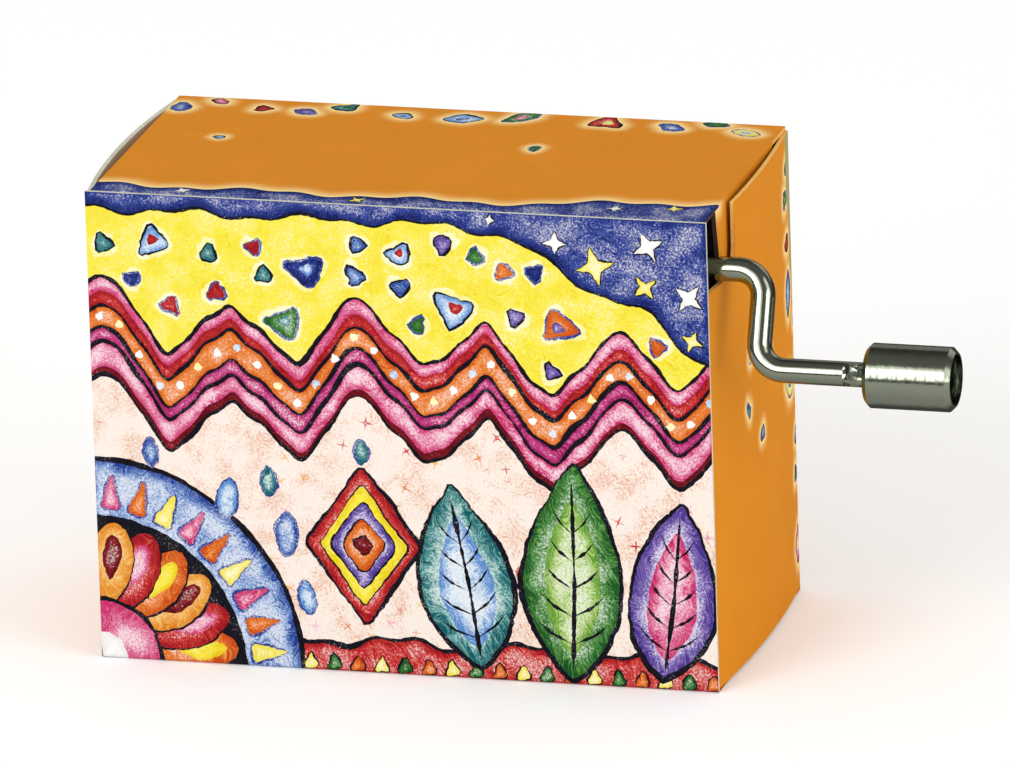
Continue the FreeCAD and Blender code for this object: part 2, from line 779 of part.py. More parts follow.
def make_arbor():
    body = new_body("drum_arbor")
    ring_top = "(dims.ring_low + dims.ring_thick)"
    profile = [
        ("0", "dims.arbor_low"),
        ("dims.arbor_radius", "dims.arbor_low"),
        ("dims.arbor_radius", "dims.ring_low"),
        ("dims.groove_radius", "dims.ring_low"),
        ("dims.groove_radius", ring_top),
        ("dims.arbor_radius", ring_top),
        ("dims.arbor_radius", "dims.arbor_high"),
        ("0", "dims.arbor_high"),
    ]
    turn_profile(body, "shaft", "XZ_Plane", "V_Axis", profile)
    body.setExpression("Placement.Base.x", "dims.drum_x")
    body.setExpression("Placement.Base.y", DRUM_Y)
    return body


def make_retaining_ring():
    """Open ring that snaps into the arbor's groove above the wheel."""
    base = ("dims.drum_x", DRUM_Y, "dims.ring_low")
    full = ring("ring_blank", "dims.ring_radius", "dims.groove_radius", "dims.ring_thick", base, "up")
    low = ("dims.drum_x - dims.groove_radius * 0.8", f"{DRUM_Y} - dims.ring_radius - 1", "dims.ring_low")
    size = ("dims.groove_radius * 1.6", "dims.ring_radius + 1", "dims.ring_thick")
    opened = cut("retaining_ring", full, block("ring_opening", low, size))
    opened.Label = "retaining_ring"
    return opened


def make_thrust_washers():
    stations = ("dims.drum_low - dims.side_play - dims.washer_thick", "dims.drum_high + dims.side_play")
    washers = []
    for index, station in enumerate(stations):
        base = ("dims.drum_x", DRUM_Y, station)
        sizes = ("dims.washer_radius", "dims.arbor_radius + dims.running_fit", "dims.washer_thick")
        washers.append(ring(f"thrust_washer_{index}", *sizes, base, "up"))
    return group("thrust_washers", washers)


# Frame of the movement

def comb_heel(grow):
    """Outline of the comb's heel, grown by a margin along its ends."""
    return [
        (f"{BASS_ROOT} - dims.heel_long", f"dims.comb_low - {grow}"),
        (BASS_ROOT, f"dims.comb_low - {grow}"),
        (TREBLE_ROOT, f"{COMB_HIGH} + {grow}"),
        (f"{TREBLE_ROOT} - dims.heel_long", f"{COMB_HIGH} + {grow}"),
    ]


def comb_screw_places():
    """Two points on the middle line of the comb's heel."""
    places = []
    for share in (0.22, 0.78):
        root = f"({BASS_ROOT} + ({TREBLE_ROOT} - {BASS_ROOT}) * {share})"
        height = f"dims.comb_low + dims.teeth * dims.tooth_pitch * {share}"
        places.append((f"{root} - dims.heel_long / 2", height))
    return places


def make_base_plate():
    """Cast plate with a raised comb seat in front, and four posts joined by ribs behind."""
    body = new_body("base_plate")
    outline = box_loop("-dims.plate_left", "dims.plate_low", "dims.plate_right", "dims.plate_high")
    add_slab(body, "plate", "XZ_Plane", PLATE_FACE, PLATE_BACK, outline)

    def corner(edge, middle):
        return abs(edge.tangentAt(edge.FirstParameter).y) > 0.99

    round_edges(body, "corners", "dims.plate_round", corner)
    add_slab(body, "seat", "XZ_Plane", COMB_SEAT, PLATE_FACE, comb_heel("dims.seat_margin"))
    posts = [(x, z, "dims.post_radius") for x, z in post_places()]
    add_slab(body, "posts", "XZ_Plane", PLATE_BACK, BACK_IN, *posts)

    def rib_loop(out):
        reach = f"dims.rib_thick / 2 * {out}"
        left, right = f"-dims.post_left - {reach}", f"dims.post_right + {reach}"
        return box_loop(left, f"dims.post_low - {reach}", right, f"dims.post_high + {reach}")

    rib_end = f"({PLATE_BACK} + dims.rib_high)"
    add_slab(body, "ribs", "XZ_Plane", PLATE_BACK, rib_end, rib_loop("1"), rib_loop("-1"))
    return body


def make_drum_bracket(label, low, foot_low, foot_high, bend_outer, bend_inner):
    """Bent metal: a wall with the arbor's bearing and a foot on the plate."""
    body = new_body(label)
    left = "dims.drum_x - dims.wall_half"
    right = "dims.drum_x + dims.wall_half"
    wall = [
        (left, PLATE_FACE),
        (left, f"{PLATE_FACE} - dims.wall_shoulder"),
        ("dims.drum_x - dims.wall_round", DRUM_Y, "dims.wall_round", -1),
        ("dims.drum_x", f"{DRUM_Y} - dims.wall_round", "dims.wall_round", -1),
        ("dims.drum_x + dims.wall_round", DRUM_Y),
        (right, f"{PLATE_FACE} - dims.wall_shoulder"),
        (right, PLATE_FACE),
    ]
    add_slab(body, "wall", "XY_Plane", low, f"{low} + dims.metal", wall)
    add_slab(body, "foot", "XZ_Plane", FOOT_FACE, PLATE_FACE, box_loop(left, foot_low, right, foot_high))
    hole = ("dims.drum_x", DRUM_Y, "dims.bush_radius")
    cut_slab(body, "bearing", "XY_Plane", low, f"{low} + dims.metal", hole)
    round_bend(body, "x", (("y", PLATE_FACE), ("z", bend_outer)), (("y", FOOT_FACE), ("z", bend_inner)))
    return body


def make_crank_bracket(label, side):
    """Bent metal: a tall ear with the crank's bush and a foot that points away from the worm."""
    body = new_body(label)
    inner = f"dims.drum_x + {side} * dims.ear_reach"
    outer = f"dims.drum_x + {side} * (dims.ear_reach + dims.metal)"
    foot_end = f"dims.drum_x + {side} * (dims.ear_reach + dims.metal + dims.foot_long)"
    low, high = (inner, outer) if side > 0 else (outer, inner)
    top = f"({SHAFT_Z} + dims.eye_radius)"
    foot_low = f"({SHAFT_Z} - dims.eye_radius - dims.eye_flare)"
    ear = [
        (PLATE_FACE, foot_low),
        (PLATE_FACE, top),
        (SHAFT_Y, top, "dims.eye_radius", -1),
        (f"{SHAFT_Y} - dims.eye_radius", SHAFT_Z, "dims.eye_radius", -1),
        (SHAFT_Y, f"{SHAFT_Z} - dims.eye_radius"),
        (f"{SHAFT_Y} + dims.eye_neck", f"{SHAFT_Z} - dims.eye_radius"),
        (f"{FOOT_FACE} - dims.bend_inside", foot_low),
    ]
    add_slab(body, "ear", "YZ_Plane", low, high, ear)
    foot = box_loop(*((outer, foot_low, foot_end, top) if side > 0 else (foot_end, foot_low, outer, top)))
    add_slab(body, "foot", "XZ_Plane", FOOT_FACE, PLATE_FACE, foot)
    cut_slab(body, "eye", "YZ_Plane", low, high, (SHAFT_Y, SHAFT_Z, "dims.bush_radius"))
    round_bend(body, "z", (("x", inner), ("y", PLATE_FACE)), (("x", outer), ("y", FOOT_FACE)))
    return body


def make_drum_bushes():
    bore = "dims.arbor_radius + dims.running_fit"
    long = "dims.metal + dims.flange_thick + dims.drum_bush_proud"
    low_base = ("dims.drum_x", DRUM_Y, "dims.wall_low - dims.drum_bush_proud")
    low_flange = ("dims.drum_x", DRUM_Y, "dims.wall_low + dims.metal")
    sleeve = rod("low_bush_sleeve", "dims.bush_radius", long, low_base, "up")
    flange = rod("low_bush_flange", "dims.flange_radius", "dims.flange_thick", low_flange, "up")
    hole = rod("low_bush_hole", bore, long, low_base, "up")
    low = cut("low_bush", fuse("low_bush_solid", [sleeve, flange]), hole)
    high_base = ("dims.drum_x", DRUM_Y, "dims.wall_high - dims.flange_thick")
    high = flanged_bush("high_bush", bore, long, high_base, "up")
    return group("drum_bushes", [low, high])


def make_crank_bushes():
    bore = "dims.wire_radius + dims.running_fit"
    long = "dims.metal + dims.flange_thick + dims.crank_bush_proud"
    outer_base = ("dims.drum_x + dims.ear_reach - dims.flange_thick", SHAFT_Y, SHAFT_Z)
    outer = flanged_bush("outer_bush", bore, long, outer_base, "right")
    sleeve_x = "dims.drum_x - dims.ear_reach - dims.metal - dims.crank_bush_proud"
    sleeve_base = (sleeve_x, SHAFT_Y, SHAFT_Z)
    flange_base = ("dims.drum_x - dims.ear_reach", SHAFT_Y, SHAFT_Z)
    sleeve = rod("inner_bush_sleeve", "dims.bush_radius", long, sleeve_base, "right")
    flange = rod("inner_bush_flange", "dims.flange_radius", "dims.flange_thick", flange_base, "right")
    hole = rod("inner_bush_hole", bore, long, sleeve_base, "right")
    inner = cut("inner_bush", fuse("inner_bush_solid", [sleeve, flange]), hole)
    return group("crank_bushes", [inner, outer])


# Comb

def tooth_middle(index):
    return f"(dims.comb_low + dims.tooth_pitch * ({index} + 0.5))"


def make_comb():
    """Steel comb: long bass teeth below, short treble teeth above, thinner than the heel."""
    body = new_body("comb")
    blank = [
        (f"{BASS_ROOT} - dims.heel_long", "dims.comb_low"),
        (TIP_X, "dims.comb_low"),
        (TIP_X, COMB_HIGH),
        (f"{TREBLE_ROOT} - dims.heel_long", COMB_HIGH),
    ]
    add_slab(body, "blank", "XZ_Plane", COMB_FRONT, COMB_SEAT, blank)
    thin = [
        (f"{BASS_ROOT} + 1", "dims.comb_low - 1"),
        (f"{TIP_X} + 1", "dims.comb_low - 1"),
        (f"{TIP_X} + 1", f"{COMB_HIGH} + 1"),
        (f"{TREBLE_ROOT} + 1", f"{COMB_HIGH} + 1"),
    ]
    cut_slab(body, "thinning", "XZ_Plane", f"{COMB_FRONT} + dims.tooth_thick", COMB_SEAT, thin)
    slots = []
    teeth = round(worth("dims.teeth"))
    for index in range(1, teeth):
        middle = f"dims.comb_low + dims.tooth_pitch * {index}"
        root = f"{BASS_ROOT} + ({TREBLE_ROOT} - {BASS_ROOT}) * {index} / dims.teeth"
        low = f"{middle} - dims.tooth_slot / 2"
        high = f"{middle} + dims.tooth_slot / 2"
        slots.append(box_loop(root, low, f"{TIP_X} + 1", high))
    cut_slab(body, "slots", "XZ_Plane", f"{COMB_FRONT} - 0.1", f"{COMB_SEAT} + 0.1", *slots)
    holes = [(x, z, "dims.comb_hole") for x, z in comb_screw_places()]
    cut_slab(body, "holes", "XZ_Plane", COMB_FRONT, COMB_SEAT, *holes)
    return body


def under_tooth(name, index, back, sizes):
    """Block behind one tooth: back is how far its near end lies behind the tip."""
    long, thick, wide = sizes
    low_x = f"{TIP_X} - {back} - {long}"
    low_z = f"{tooth_middle(index)} - {wide} / 2"
    return block(name, (low_x, f"{COMB_FRONT} + dims.tooth_thick", low_z), (long, thick, wide))


def make_bass_weights():
    """Lead under the long teeth, shorter and thinner towards the middle of the comb."""
    weights = []
    for index in range(round(worth("dims.weights"))):
        long = f"(dims.weight_long - dims.weight_long_step * {index})"
        thick = f"(dims.weight_thick - dims.weight_thick_step * {index})"
        sizes = (long, thick, "dims.weight_wide")
        weights.append(under_tooth(f"weight_{index}", index, "dims.weight_back", sizes))
    return group("bass_weights", weights)


def make_dampers():
    """Thin strips behind the tips that quiet a tooth before the next pin."""
    strips = []
    for index in range(round(worth("dims.dampers"))):
        long = f"(dims.damper_long - dims.damper_long_step * {index})"
        sizes = ("dims.damper_thick", long, "dims.damper_wide")
        strips.append(under_tooth(f"damper_{index}", index, "dims.damper_back", sizes))
    return group("comb_dampers", strips)


def make_all():
    low_top = "dims.wall_low + dims.metal"
    high_top = "dims.wall_high + dims.metal"
    low_foot = ("dims.wall_low - dims.foot_long", low_top, low_top, "dims.wall_low")
    high_foot = ("dims.wall_high", f"{high_top} + dims.foot_long", "dims.wall_high", high_top)
    return [
        make_carton(),
        make_lid(),
        make_crank_wire(),
        make_knob(),
        make_worm(),
        make_wheel(),
        make_drum(),
        make_drum_caps(),
        make_arbor(),
        make_retaining_ring(),
        make_thrust_washers(),
        make_base_plate(),
        make_drum_bracket("drum_bracket_lower", "dims.wall_low", *low_foot),
        make_drum_bracket("drum_bracket_upper", "dims.wall_high", *high_foot),
        make_crank_bracket("crank_bracket_inner", -1),
        make_crank_bracket("crank_bracket_outer", 1),
        make_drum_bushes(),
        make_crank_bushes(),
        make_comb(),
        make_bass_weights(),
        make_dampers(),
    ]


def check(pieces):
    for item in doc.Objects:
        if "Invalid" in item.State or "Error" in item.State:
            raise RuntimeError(f"{item.Name} failed: {item.State}")
    for piece in pieces:
        if piece.Shape.isNull() or not piece.Shape.isValid():
            raise RuntimeError(f"{piece.Label} has no valid shape")


def write(pieces):
    os.makedirs("parts", exist_ok=True)
    for piece in pieces:
        piece.Shape.exportStep(f"parts/{piece.Label}.step")
        print(f"{piece.Label:22s} solids {len(piece.Shape.Solids):3d} volume {piece.Shape.Volume:10.3f}")


fill_sheet()
PIECES = make_all()
doc.recompute()
check(PIECES)
write(PIECES)
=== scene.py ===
import random
from math import acos, asin, atan2, copysign, cos, degrees, exp, hypot, pi, radians, sin, sqrt, tan

import bpy
import numpy as np
from mathutils import Matrix, Vector
from mathutils.geometry import delaunay_2d_cdt


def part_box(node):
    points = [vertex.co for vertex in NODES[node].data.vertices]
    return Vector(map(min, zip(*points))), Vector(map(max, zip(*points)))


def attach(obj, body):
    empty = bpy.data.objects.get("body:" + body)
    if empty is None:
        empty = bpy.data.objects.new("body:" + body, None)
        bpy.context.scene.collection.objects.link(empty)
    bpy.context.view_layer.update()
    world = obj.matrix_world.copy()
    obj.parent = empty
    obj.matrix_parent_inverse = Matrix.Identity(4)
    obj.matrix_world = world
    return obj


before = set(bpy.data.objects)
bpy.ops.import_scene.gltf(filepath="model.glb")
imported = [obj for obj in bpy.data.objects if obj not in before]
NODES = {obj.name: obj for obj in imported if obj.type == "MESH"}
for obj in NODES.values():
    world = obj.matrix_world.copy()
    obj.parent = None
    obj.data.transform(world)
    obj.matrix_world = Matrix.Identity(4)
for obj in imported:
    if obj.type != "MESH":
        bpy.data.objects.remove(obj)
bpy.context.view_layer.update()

# A hand-cranked music box in a printed cardboard carton, in the frame's metres. Flat sizes of the
# printed sheets are in millimetres, as wide as the carton, and MM turns them into metres.

MM = 0.001

# The camera: place in millimetres, angles in degrees, image width and focal length in pixels
CAMERA_PLACE = (488.97, -1724.50, 602.82)
CAMERA_AZIMUTH = -15.649
CAMERA_ELEVATION = 17.903
CAMERA_ROLL = -1.808
PHOTO_WIDE = 1010
FOCAL_PIXELS = 20000

# The carton's own sizes, in millimetres
HALF_WIDE = 30.0
FRONT = -15.5
BACK = 15.5
HIGH = 46.0
BOARD = 0.4
FOLD = 0.35
SIDE_FOLD = 0.03
RIM = HIGH - 0.43
NOTCH_IN = 8.3
NOTCH_DROP = 7.0
NOTCH_ROUND = 2.5
BOW_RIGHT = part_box("carton_body")[1].x / MM - HALF_WIDE
BOW_LEFT = -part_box("carton_body")[0].x / MM - HALF_WIDE
LID_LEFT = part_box("carton_lid")[0].x / MM
LID_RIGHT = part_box("carton_lid")[1].x / MM
LID_GAP = 0.12
FLAP_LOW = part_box("carton_lid")[0].z / MM
FLAP_HALF = 28.0
RELIEF = (0.2, 21.8)
RELIEF_HIGH = HIGH - BOARD - 1.6
HINGE = (BACK - BOARD / 2, HIGH - BOARD / 2)
EAR_FRONT = FRONT + 4.5
EAR_BACK = BACK - 5.0
EAR_DROP = 9.0
EAR_SLANT = 1.6
PAPER = 0.03
PAST_EDGE = HALF_WIDE + 0.5

# Sizes of the movement that its screws and finishes need
BASS_LONG = 17.5
TREBLE_LONG = 10.5
FOOT_LONG = 4.9
METAL = 1.0
STOP_START = 43.0
KNOB_EDGE = 45.65
SLOT_FLOOR = 0.45


def new_mesh(name, points, faces):
    mesh = bpy.data.meshes.new(name)
    mesh.from_pydata(points, [], faces)
    return mesh


def add_object(name, data):
    made = bpy.data.objects.new(name, data)
    bpy.context.scene.collection.objects.link(made)
    return made


def srgb(red, green, blue):
    """A colour as it looks on a screen, 0 to 255, as linear numbers for a shader."""
    def line(value):
        value = value / 255
        return value / 12.92 if value <= 0.04045 else ((value + 0.055) / 1.055) ** 2.4
    return (line(red), line(green), line(blue), 1.0)


def dimmed(colour, share):
    return tuple(channel * share for channel in colour[:3]) + (1.0,)


# Shader nodes

class Value:
    """What a material works out at each point. Adding, multiplying and comparing make nodes."""

    def __init__(self, tree, socket):
        self.tree = tree
        self.socket = socket

    def math(self, operation, other=0.0):
        return node(self.tree, "ShaderNodeMath", {"operation": operation}, i0=self, i1=other)

    def __add__(self, other):
        return self.math("ADD", other)

    def __mul__(self, other):
        return self.math("MULTIPLY", other)

    def above(self, limit):
        return self.math("GREATER_THAN", limit)

    def below(self, limit):
        return self.math("LESS_THAN", limit)


def join(tree, made, inputs):
    """Set a node's inputs. A name has _ for a space, or is i0, i1 and so on for the input's place."""
    for name, value in inputs.items():
        key = int(name[1:]) if name[0] == "i" and name[1:].isdigit() else name.replace("_", " ")
        if isinstance(value, Value):
            tree.links.new(value.socket, made.inputs[key])
        else:
            made.inputs[key].default_value = value


def node(tree, kind, setup=None, output=0, **inputs):
    made = tree.nodes.new(kind)
    for name, value in (setup or {}).items():
        setattr(made, name, value)
    join(tree, made, inputs)
    return Value(tree, made.outputs[output])


def mixed(share, first, second):
    """The second colour where share is 1."""
    return node(share.tree, "ShaderNodeMix", {"data_type": "RGBA"}, 2, i0=share, i6=first, i7=second)


def ramp(value, low, high, out_low=0.0, out_high=1.0):
    return node(value.tree, "ShaderNodeMapRange", {"interpolation_type": "SMOOTHSTEP"},
                i0=value, i1=low, i2=high, i3=out_low, i4=out_high)


def axis(place, index):
    return node(place.tree, "ShaderNodeSeparateXYZ", None, index, Vector=place)


def dot(first, second):
    dot_product = {"operation": "DOT_PRODUCT"}
    return node(first.tree, "ShaderNodeVectorMath", dot_product, "Value", i0=first, i1=second)


def noise(place, scale, detail, rough, dimensions="3D"):
    return node(place.tree, "ShaderNodeTexNoise", {"noise_dimensions": dimensions},
                Vector=place, Scale=scale, Detail=detail, Roughness=rough)


def stretched(place, scale, angle=0):
    """The place turned about Z and then stretched, so that a pattern on it is fine where scale is large."""
    return node(place.tree, "ShaderNodeMapping", Vector=place, Rotation=(0, 0, radians(angle)), Scale=scale)


class Surface:
    """A new material, with values for its shader's inputs."""

    def __init__(self, name, **inputs):
        self.material = bpy.data.materials.new(name)
        self.material.use_nodes = True
        self.tree = self.material.node_tree
        self.set(**inputs)

    def set(self, **inputs):
        join(self.tree, self.tree.nodes["Principled BSDF"], inputs)

    def coordinate(self, name):
        return node(self.tree, "ShaderNodeTexCoord", None, name)

    def flat(self):
        return node(self.tree, "ShaderNodeUVMap", {"uv_map": "flat"})

    def shade(self):
        """1 at the outline of a painted shape, falling to 0 inside it."""
        return node(self.tree, "ShaderNodeAttribute", {"attribute_name": "shade"}, "Fac")

    def finish(self, colour, height, distance, strength):
        """Colour and bumps. Returns the material."""
        bump = node(self.tree, "ShaderNodeBump", Height=height, Distance=distance, Strength=strength)
        self.set(Base_Color=colour, Normal=bump)
        return self.material


# Print

# The light on the front is stronger than white needs, so inks and paper keep this share of their colour.
INK_SHARE = 0.76


def ink_colour(red, green, blue):
    return dimmed(srgb(red, green, blue), INK_SHARE)


PAPER_WHITE = ink_colour(254, 252, 248)


def crayon(name, deep, light, over, angle, press):
    """Wax crayon on rough paper: strokes one way, a few of another crayon across them, and paper
    showing in the grain wherever the hand pressed lightly."""
    deep, light, over = (ink_colour(*colour) for colour in (deep, light, over))
    surface = Surface(f"crayon_{name}", Roughness=0.6, Specular_IOR_Level=0.05)
    flat, shade = surface.flat(), surface.shade()
    way = noise(flat, 0.35, 1, 0.5, "2D") * 0.9 + radians(angle)
    lines = node(flat.tree, "ShaderNodeVectorRotate", {"rotation_type": "Z_AXIS"}, Vector=flat, Angle=way)
    streak = noise(stretched(lines, (0.42, 4.6, 1)), 1, 3, 0.72, "2D")
    cross = noise(stretched(lines, (0.4, 3.4, 1), 68), 1.2, 2, 0.65, "2D")
    grain = noise(flat, 4.4, 3, 0.85, "2D")
    patch = noise(flat, 0.33, 2, 0.55, "2D")
    tooth = grain * 0.68 + streak * 0.32
    weight = ramp(patch, 0.32, 0.7, press - 0.05, press + 0.06)
    cover = ramp(tooth + shade * 0.2 + weight, 0.86, 1.07)
    stroke = ramp(streak, 0.34, 0.68, -0.4, 0.5) + ramp(patch, 0.3, 0.72, -0.3, 0.25)
    tone = mixed(ramp(shade + stroke, -0.1, 1), light, deep)
    wax = mixed(ramp(cross, 0.52, 0.7, 0, 0.5), tone, over)
    bare = tuple(0.72 * white + 0.28 * tint for white, tint in zip(PAPER_WHITE, light))
    return surface.finish(mixed(cover, bare, wax), tooth, 2e-5, 0.5)


def airbrush(name, ground, glow):
    """Even printed ground with a pale glow round what is painted on it."""
    surface = Surface(name, Roughness=0.55, Specular_IOR_Level=0.05)
    flat = surface.flat()
    fine = noise(flat, 6, 3, 0.75, "2D")
    broad = noise(flat, 0.16, 2, 0.5, "2D")
    darker = dimmed(ground, 0.88)
    base = mixed(ramp(broad, 0.3, 0.7, 0, 0.3), ground, darker)
    grainy = mixed(ramp(fine, 0.42, 0.68, 0, 0.4), base, darker)
    halo = surface.shade() * ramp(fine, 0.2, 0.8, 0.82, 1)
    return surface.finish(mixed(halo, grainy, glow), fine, 1e-5, 0.4)


# Each crayon's deep, light and second colour, the angle of its strokes and how hard it is pressed
CRAYONS = {
    "yellow": ((236, 206, 20), (250, 234, 62), (252, 246, 150), 20, 0.58),
    "lemon": ((244, 226, 60), (252, 244, 160), (254, 252, 220), 65, 0.5),
    "amber": ((222, 128, 30), (244, 186, 84), (248, 214, 130), 40, 0.52),
    "orange": ((200, 72, 22), (236, 130, 44), (246, 176, 84), 48, 0.54),
    "peach": ((218, 132, 96), (246, 206, 178), (238, 178, 158), 30, 0.4),
    "red": ((150, 14, 30), (208, 44, 46), (226, 96, 70), 28, 0.54),
    "maroon": ((86, 8, 20), (140, 24, 36), (172, 50, 50), 60, 0.56),
    "pink": ((200, 36, 100), (232, 120, 170), (244, 192, 214), 12, 0.46),
    "magenta": ((140, 20, 84), (204, 54, 132), (222, 104, 166), 15, 0.52),
    "violet": ((74, 50, 140), (140, 114, 196), (188, 166, 218), 70, 0.46),
    "navy": ((18, 26, 92), (42, 62, 150), (84, 112, 188), 30, 0.54),
    "blue": ((32, 58, 146), (110, 154, 216), (166, 196, 234), 50, 0.46),
    "sky": ((80, 134, 204), (172, 206, 238), (214, 230, 246), 80, 0.42),
    "green": ((20, 82, 36), (72, 146, 62), (134, 182, 76), 40, 0.5),
    "lime": ((90, 152, 50), (172, 208, 100), (220, 230, 140), 60, 0.46),
    "teal": ((14, 92, 100), (88, 168, 168), (150, 206, 190), 35, 0.46),
    "ink": ((4, 4, 8), (22, 20, 30), (40, 34, 54), 30, 0.66),
    "chalk": ((238, 236, 232), (255, 254, 252), (255, 255, 255), 30, 0.5),
}
INKS = {name: crayon(name, *look) for name, look in CRAYONS.items()}
INKS["ground"] = airbrush("print_orange", srgb(215, 134, 26), srgb(250, 222, 150))
# Bare board strip at the back folds: khaki, the board's colour darkened by painted shade
INKS["bare"] = airbrush("bare_board_painted_shade", srgb(166, 158, 102), srgb(204, 204, 184))
INK_NAMES = list(INKS)


# Flat outlines, as arrays of points in millimetres

def unit(rows):
    """Each row with a length of 1."""
    return rows / np.maximum(np.linalg.norm(rows, axis=1), 1e-9)[:, None]


def right_of(rows):
    return np.c_[rows[:, 1], -rows[:, 0]]


def lengths_along(line):
    return np.concatenate([[0], np.cumsum(np.linalg.norm(np.diff(line, axis=0), axis=1))])


def places_at(along, lengths, points):
    """Points of a line at given lengths along it."""
    return np.column_stack([np.interp(along, lengths, points[:, k]) for k in (0, 1)])


def arc(centre, radius, start, end, count):
    turn = np.radians(np.linspace(start, end, count + 1))
    return np.c_[centre[0] + radius * np.cos(turn), centre[1] + radius * np.sin(turn)]


def ragged(shape, seed):
    """The crayon's rough edge."""
    return np.random.default_rng(seed).uniform(-0.05, 0.05, shape)


def ripple(count, waves_round, size, rng):
    """A wave round a closed line of so many points, from a chance start."""
    turns = np.arange(count) / count * 2 * pi
    return size / sqrt(waves_round) * np.sin(waves_round * turns + rng.uniform(0, 2 * pi))


def hand(points, amount, seed):
    """The same line drawn by hand: a slow wander to either side."""
    rng = random.Random(seed)
    points = np.array(points, float)
    for k in (2, 3, 5, 9, 14):
        for way in (0, 1):
            points[:, way] += ripple(len(points), k, amount, rng)
    return points + ragged(points.shape, seed)


def resample(points, step, closed=True):
    """Points about a step apart along the line."""
    points = np.array(points, float)
    if closed:
        points = np.vstack([points, points[:1]])
    lengths = lengths_along(points)
    count = max(int(round(lengths[-1] / step)), 6)
    line = places_at(np.linspace(0, lengths[-1], count + 1), lengths, points)
    return line[:-1] if closed else line


def smooth(points, times):
    """Corner cutting on a closed line."""
    for _ in range(times):
        ahead = np.roll(points, -1, axis=0)
        pairs = (points * 0.75 + ahead * 0.25, points * 0.25 + ahead * 0.75)
        points = np.hstack(pairs).reshape(-1, 2)
    return points


def normals(points):
    """Outward normals of a closed counter-clockwise line."""
    return right_of(unit(np.roll(points, -1, axis=0) - np.roll(points, 1, axis=0)))


def turning_left(points):
    points = np.array(points, float)
    x, y = points.T
    area = np.sum(x * np.roll(y, -1) - np.roll(x, -1) * y)
    return points if area > 0 else points[::-1]


def grown(points, by, seed=None):
    """The outline moved outwards, unevenly if a seed is given, as a pen line is."""
    points = turning_left(points)
    width = np.full(len(points), float(by))
    if seed is not None:
        rng = random.Random(seed)
        for k in (1, 2, 3, 7):
            width += ripple(len(points), k, by * 0.28, rng)
        width += ragged(width.shape, seed)
    return points + normals(points) * width[:, None]


def spun(points, angle, centre):
    c, s = cos(radians(angle)), sin(radians(angle))
    return np.array(points, float) @ np.array([[c, s], [-s, c]]) + centre


def polar(centre, radius, angle):
    return spun([(radius, 0)], angle, centre)[0]


def polygon(corners, step=0.35, round_times=2):
    return resample(smooth(resample(corners, step * 3), round_times), step)


def triangle(size):
    return polygon([(-0.5 * size, -0.42 * size), (0.52 * size, -0.38 * size), (0.1 * size, 0.5 * size)])


def diamond(wide, tall):
    return polygon([(-wide / 2, 0), (0, -tall / 2), (wide / 2, 0), (0, tall / 2)])


def mirrored(half, tall, step):
    """A closed outline from its half widths, from its foot up to its top."""
    up = np.linspace(0, 1, len(half)) * tall
    left = np.c_[-half, up][::-1]
    return resample(np.vstack([np.c_[half, up], left[1:-1]]), step)


def leaf(wide, tall):
    """Pointed at both ends, fuller below the middle."""
    share = np.linspace(0, 1, 40)
    return mirrored(wide / 2 * np.sin(pi * share) ** 0.8 * (1.18 - 0.36 * share), tall, 0.35)


def drop(wide, tall):
    """Round below, pointed above."""
    share = np.linspace(0, 1, 40)
    half = wide / 2 * np.sqrt(np.clip(share * (2 - share), 0, 1)) * (1 - share ** 3) * 1.15
    return mirrored(half, tall, 0.3)


def pen(points, width, seed, taper=True):
    """A pen stroke along an open line, as a thin closed outline."""
    line = resample(points, 0.35, closed=False)
    rng = random.Random(seed)
    share = np.linspace(0, 1, len(line))
    side = right_of(unit(np.gradient(line, axis=0)))
    half = np.full(len(line), width / 2)
    for k in (2, 5, 11, int(len(line) / 9) + 1):
        half *= 1 + 0.16 * np.sin(k * pi * share + rng.uniform(0, 6.28))
    half += ragged(half.shape, seed)
    if taper:
        half *= np.clip(np.minimum(share, 1 - share) * len(line) / 4, 0.15, 1)
    return np.vstack([line + side * half[:, None], (line - side * half[:, None])[::-1]])


def waves(x, *terms):
    """The sum of sine waves, each with its size, rate and phase."""
    return sum(size * sin(rate * x + phase) for size, rate, phase in terms)


def between(low, high, left=-PAST_EDGE, right=PAST_EDGE):
    """The area between two curves given as functions of the place across."""
    across = np.arange(left, right + 0.2, 0.4)
    bottom, top = (np.c_[across, [edge(x) for x in across]] for edge in (low, high))
    return np.vstack([bottom, top[::-1]])


def sector(inner, outer, start, end, centre):
    """Part of a ring between two angles in degrees."""
    sides = []
    for radius, first, last in ((outer, start, end), (inner, end, start)):
        count = max(int(abs(last - first) / 360 * 2 * pi * radius / 0.4), 3)
        sides.append(arc(centre, radius, first, last, count - 1))
    return np.vstack(sides)


# Printed sheets

GLOW_RINGS = (0.25, 0.5, 0.8, 1.1)
FADE_RINGS = (0.35, 0.7, 1.05)


class Sheet:
    """Paper with painted shapes, later ones over earlier ones, laid along a path of the board."""

    def __init__(self, name, outline, stations=()):
        self.name = name
        self.outline = turning_left(outline)
        self.stations = stations
        self.shapes = [(self.outline, "ground", 0.0)]
        self.halos = []

    def paint(self, points, ink, fade=0.0):
        """fade is how far in from its outline the shape is darker."""
        self.shapes.append((turning_left(points), ink, fade))

    def glow(self, points, reach):
        self.halos.append((np.array(points, float), reach))


def distance_to_line(places, line):
    """Least distance from each place to a closed line."""
    best = np.full(len(places), 1e9)
    for start, end in zip(line, np.roll(line, -1, axis=0)):
        run = end - start
        share = np.clip(((places - start) @ run) / max(run @ run, 1e-12), 0, 1)
        best = np.minimum(best, np.linalg.norm(places - start - share[:, None] * run, axis=1))
    return best


